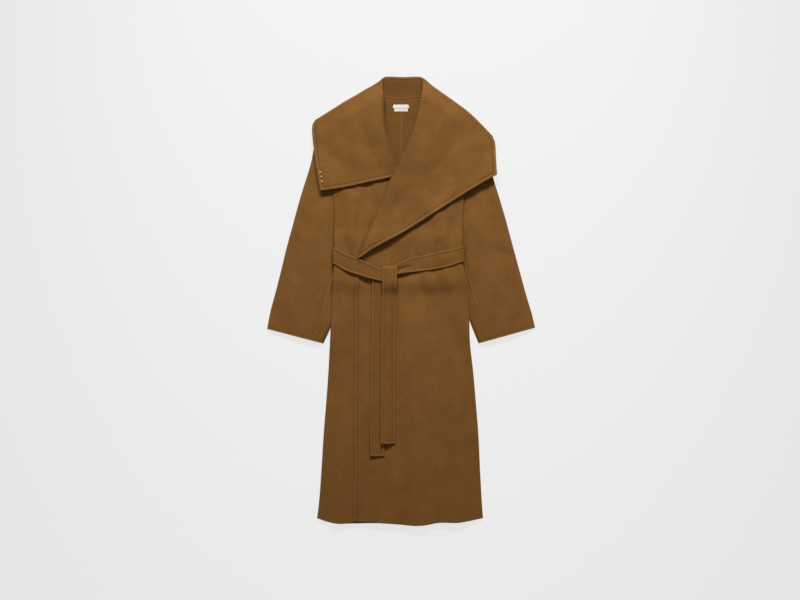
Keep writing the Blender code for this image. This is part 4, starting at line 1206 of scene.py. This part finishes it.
for name, size in LABELS.items():
    half = size["half_width"]
    middle = (size["top"] + size["bottom"]) / 2
    start = np.array([(-half, size["bottom"]), (-half - size["point"], middle), (-half, size["top"])])
    columns, rows = even(19), even(7)
    low = spaced(start[[0]] * [[1, 1], [-1, 1]], columns)
    high = spaced(start[[2]] * [[1, 1], [-1, 1]], columns)
    plan = patch(low, high, spaced(start, rows), spaced(start * (-1, 1), rows), columns, rows)
    flat = (2 * (half + size["point"]) / 1000, (size["top"] - size["bottom"] + LABEL_TURNED) / 1000)
    laid_cloth(
        name + "_tape", at_height(plan, on_back), name, LABEL_TAPE,
        thickness=LABEL_THICK,
    )

# ---------------------------------------------------------------------------------------------------
# The belt: one long tube of the same wool, pressed flat and stitched near both edges. It runs behind
# the back and round the sides, and is tied once in front, where it is gathered, with both tails down.

BELT_CLOTH = 3.2  # the pressed tube itself, thinner than the room it is given
BELT_AIR = 0.4
BELT_STITCH = 7.0
BELT_EDGE_FULL = 0.28
BELT_STITCH_DEEP = 0.40
TAIL_LIFT = 4.6  # height by which a tail's end stands up at one corner
BACK_TAIL_LIFT = 3.2
TAIL_LIP = 14.0
ONTO_EDGE = (-164, -136)  # across, where the belt comes onto the over front
KNOT_ACROSS = (-92, -4)
TAIL_ON_TAIL = (-16, -37)
TAIL_ON_RUNS = (636, 674)
FRONT_CORNER_UP = (340, 229)
FRONT_CORNER_ACROSS = (-16, -56)
BACK_CORNER_UP = (300, 194)
BACK_CORNER_ACROSS = (-46, -86)
BELT_EDGE_STEPS = (0.0, 1.4, 3.4, 5.4, BELT_STITCH, 8.6, 12.0)
BELT_COLUMN = BELT_EDGE_STEPS.index(BELT_STITCH)
BELT_MIDDLE_LINES = 3
FRONT_TAIL = table(
    "up left right",
    (724.4, -51.5, -11),
    (640, -53.5, -13),
    (500, -56, -16),
    (360, -57, -16.5),
    (229, -56.5, -16),
)
BACK_TAIL = table(
    "up left right",
    (690, -81.5, -40.5),
    (620, -81.5, -40.5),
    (460, -84, -43.5),
    (330, -86, -45.5),
    (194, -86.5, -46),
)

RUN_CREASES = creases(
    (-16, 712, 26, 722, 4, -2.4),
    (-14, 722, 20, 732, 5, 1.2),
    (-12, 705, 16, 709, 4, 0.8),
    (-62, 700, -92, 715, 6, -0.8),
    (150, 750, 100, 741, 7, 0.7),
)

# The same outer face on the belt, slightly yellower where it is handled.
BELT_WOOL = felted_wool("felted_belt_wool", "#6E4A1D", "#583813", "#856030")


def knot(across):
    """1 where the belt's two runs lie on its turned end and on the back tail."""
    return band(across, *KNOT_ACROSS, DRAPE)


def front(across, up):
    """Middle height of the fronts for what lies on either of them."""
    lapped = rise(across, *ONTO_EDGE)
    return under_front(across, up) * (1 - lapped) + over_front(across, up) * lapped


def on_front(across, up):
    """Middle height of a length of belt that lies on the fronts."""
    return front(across, up) + CLOTH / 2 + BELT_AIR + BELT_CLOTH / 2


def belt_run(across, up):
    """Middle height of the belt's two runs."""
    return on_front(across, up) + BELT_STEP * knot(across) + folds(RUN_CREASES, across, up)


def front_tail(across, up):
    """Middle height of the front tail, which lies on the runs and then half on the back tail."""
    on_back_tail = rise(across, *TAIL_ON_TAIL)
    on_runs = rise(up, *TAIL_ON_RUNS)
    corner = TAIL_LIFT * rise(up, *FRONT_CORNER_UP) * rise(across, *FRONT_CORNER_ACROSS)
    return on_front(across, up) + BELT_STEP * (np.maximum(on_back_tail, on_runs) + on_runs) + corner


def back_tail(across, up):
    """Middle height of the back tail."""
    corner = BACK_TAIL_LIFT * rise(up, *BACK_CORNER_UP) * rise(across, *BACK_CORNER_ACROSS)
    return on_front(across, up) + corner


def belt_behind(across, up):
    """Middle height of the belt behind the back."""
    return on_sleeves(across, up) + BELT_THICK / 2


def ribbon(rows, stations, moved):
    """Plan of a length of belt, row by row from edge to edge, with its first end `moved` along."""
    line = np.stack(list(rows.values()), axis=1)
    line[0, 0] += moved
    along, first, last = spaced(smooth(line), even(stations)).T
    share = even(5)
    edges = first[:, None] + (last - first)[:, None] * share
    run = np.broadcast_to(along[:, None], edges.shape)
    plan = np.stack([run, edges] if "across" in rows else [edges, run], axis=2)
    return respaced(plan, BELT_MIDDLE_LINES, BELT_EDGE_STEPS, BELT_EDGE_STEPS)


def turned_start(grid, drop, lip):
    """A length of belt with its first end turned under."""
    return swapped(turned_under(swapped(grid[::-1]), drop, lip))


def belt_length(name, node, grid, whole, ends=()):
    """One length of the belt, stitched near both edges and across its free end."""
    edges = [grid[:, 0, :2], grid[:, -1, :2], *ends]
    laid_cloth(
        name, whole, node, BELT_WOOL, edges=edges,
        stitch_at=BELT_STITCH, edge_full=BELT_EDGE_FULL, stitch_deep=BELT_STITCH_DEEP,
        thickness=BELT_CLOTH,
    )


def edge_threads(grid, end=None):
    """Surface points of the stitching along both edges of a length of belt, up to row `end`."""
    return [thread_line(seen, BELT_COLUMN, BELT_CLOTH)[:end] for seen in (grid, grid[:, ::-1])]


ends = []
for name, rows, stations, flat in (
    ("belt_run_right", RUN_RIGHT, 24, (0.045, 0.175)),
    ("belt_run_left", RUN_LEFT, 30, (0.045, 0.225)),
):
    side = np.sign(rows["across"][0])
    middle = (rows["top"][0] + rows["bottom"][0]) / 2
    drop = belt_run(rows["across"][0], middle) - belt_behind(rows["across"][0], middle)
    inset = (drop + BELT_THICK) / 2
    grid = at_height(ribbon(rows, stations, -side * inset), belt_run)
    rests_on = ["front_left_cloth", "front_right_cloth"]
    belt_length(name + "_cloth", name, grid, turned_start(grid, drop, LIP))
    across = rows["across"][0] - side * (inset + LIP + SEAM)
    ends.append(np.array([(across, rows["bottom"][0]), (across, rows["top"][0])]))
    stitching(name + "_stitching", edge_threads(grid))

right, left = [spaced(end, even(9)) for end in ends]
columns = even(60)
bottom = spaced(np.array([right[0], left[0]]), columns)
top = spaced(np.array([right[-1], left[-1]]), columns)
plan = patch(bottom, top, right, left, columns, even(9))
plan = swapped(respaced(swapped(plan), BELT_MIDDLE_LINES, BELT_EDGE_STEPS, BELT_EDGE_STEPS))
grid = at_height(plan, belt_behind)
belt_length("belt_behind_cloth", "belt_back", swapped(grid), grid)

for name, node, rows, stations, moved, height, flat, rests_on in (
    (
        "back_tail", "belt_back_tail", BACK_TAIL, 58, 0.0, back_tail,
        (0.041, 0.497), ["front_left_cloth"],
    ),
    (
        "front_tail", "belt_front_tail", FRONT_TAIL, 60, -(BELT_STEP + BELT_THICK / 2), front_tail,
        (0.041, 0.525), ["belt_run_right_cloth", "belt_run_left_cloth", "back_tail_cloth"],
    ),
):
    plan = swapped(ribbon(rows, stations, moved))
    plan = swapped(respaced(plan, stations, (0.0,), BELT_EDGE_STEPS))
    grid = at_height(plan, height)
    whole = turned_start(grid, 2 * BELT_STEP, TAIL_LIP) if moved else grid
    belt_length(name + "_cloth", node, grid, whole, [grid[-1, :, :2]])
    end_thread = thread_line(swapped(grid)[:, ::-1], BELT_COLUMN, BELT_CLOTH)[BELT_COLUMN:-BELT_COLUMN]
    stitching(name + "_stitching", [*edge_threads(grid, -BELT_COLUMN), end_thread])

# ---------------------------------------------------------------------------------------------------
# Floor, light and camera: a wide sheet of matt white paper, two soft lamps low beyond the collar and
# pale light from all round, seen from straight above.

WHITE = (1.0, 1.0, 1.0, 1.0)
# Matt paper lit from behind: it gives the eye an even pale ground with soft, faint shadows.
PAPER = finish(
    "lit_paper", Base_Color=linear("#525150"), Roughness=0.9, Specular_IOR_Level=0.1,
    Emission_Color=WHITE, Emission_Strength=0.75,
)[0]
floor_mesh = bmesh.new()
bmesh.ops.create_grid(floor_mesh, x_segments=2, y_segments=2, size=8.0)
floor = placed("floor", floor_mesh, PAPER)

world = bpy.data.worlds.new("pale_room")
world.use_nodes = True
world.node_tree.nodes["Background"].inputs["Color"].default_value = WHITE
world.node_tree.nodes["Background"].inputs["Strength"].default_value = 0.32
bpy.context.scene.world = world

LAMP_AT = Vector((0.04, 0.82, 0.0))
for name, lamp_from, energy in (
    ("left_soft_lamp", Vector((-0.9, 4.9, 3.3)), 1220.0),
    ("right_soft_lamp", Vector((1.1, 4.9, 3.3)), 1530.0),
):
    lamp_data = bpy.data.lights.new(name, "SPOT")
    lamp_data.spot_size = math.radians(29)
    lamp_data.spot_blend = 1.0
    lamp_data.shadow_soft_size = 0.34
    lamp_data.energy = energy
    lamp = bpy.data.objects.new(name, lamp_data)
    lamp.location = lamp_from
    lamp.rotation_euler = (LAMP_AT - lamp_from).to_track_quat("-Z", "Y").to_euler()
    bpy.context.scene.collection.objects.link(lamp)

camera_data = bpy.data.cameras.new("camera")
camera_data.lens = 85.0
camera_data.sensor_width = 36.0
camera = bpy.data.objects.new("camera", camera_data)
camera.location = (-0.0028, 0.0028, 5.276)
bpy.context.scene.collection.objects.link(camera)
bpy.context.scene.camera = camera
bpy.context.scene.view_settings.view_transform = "Standard"
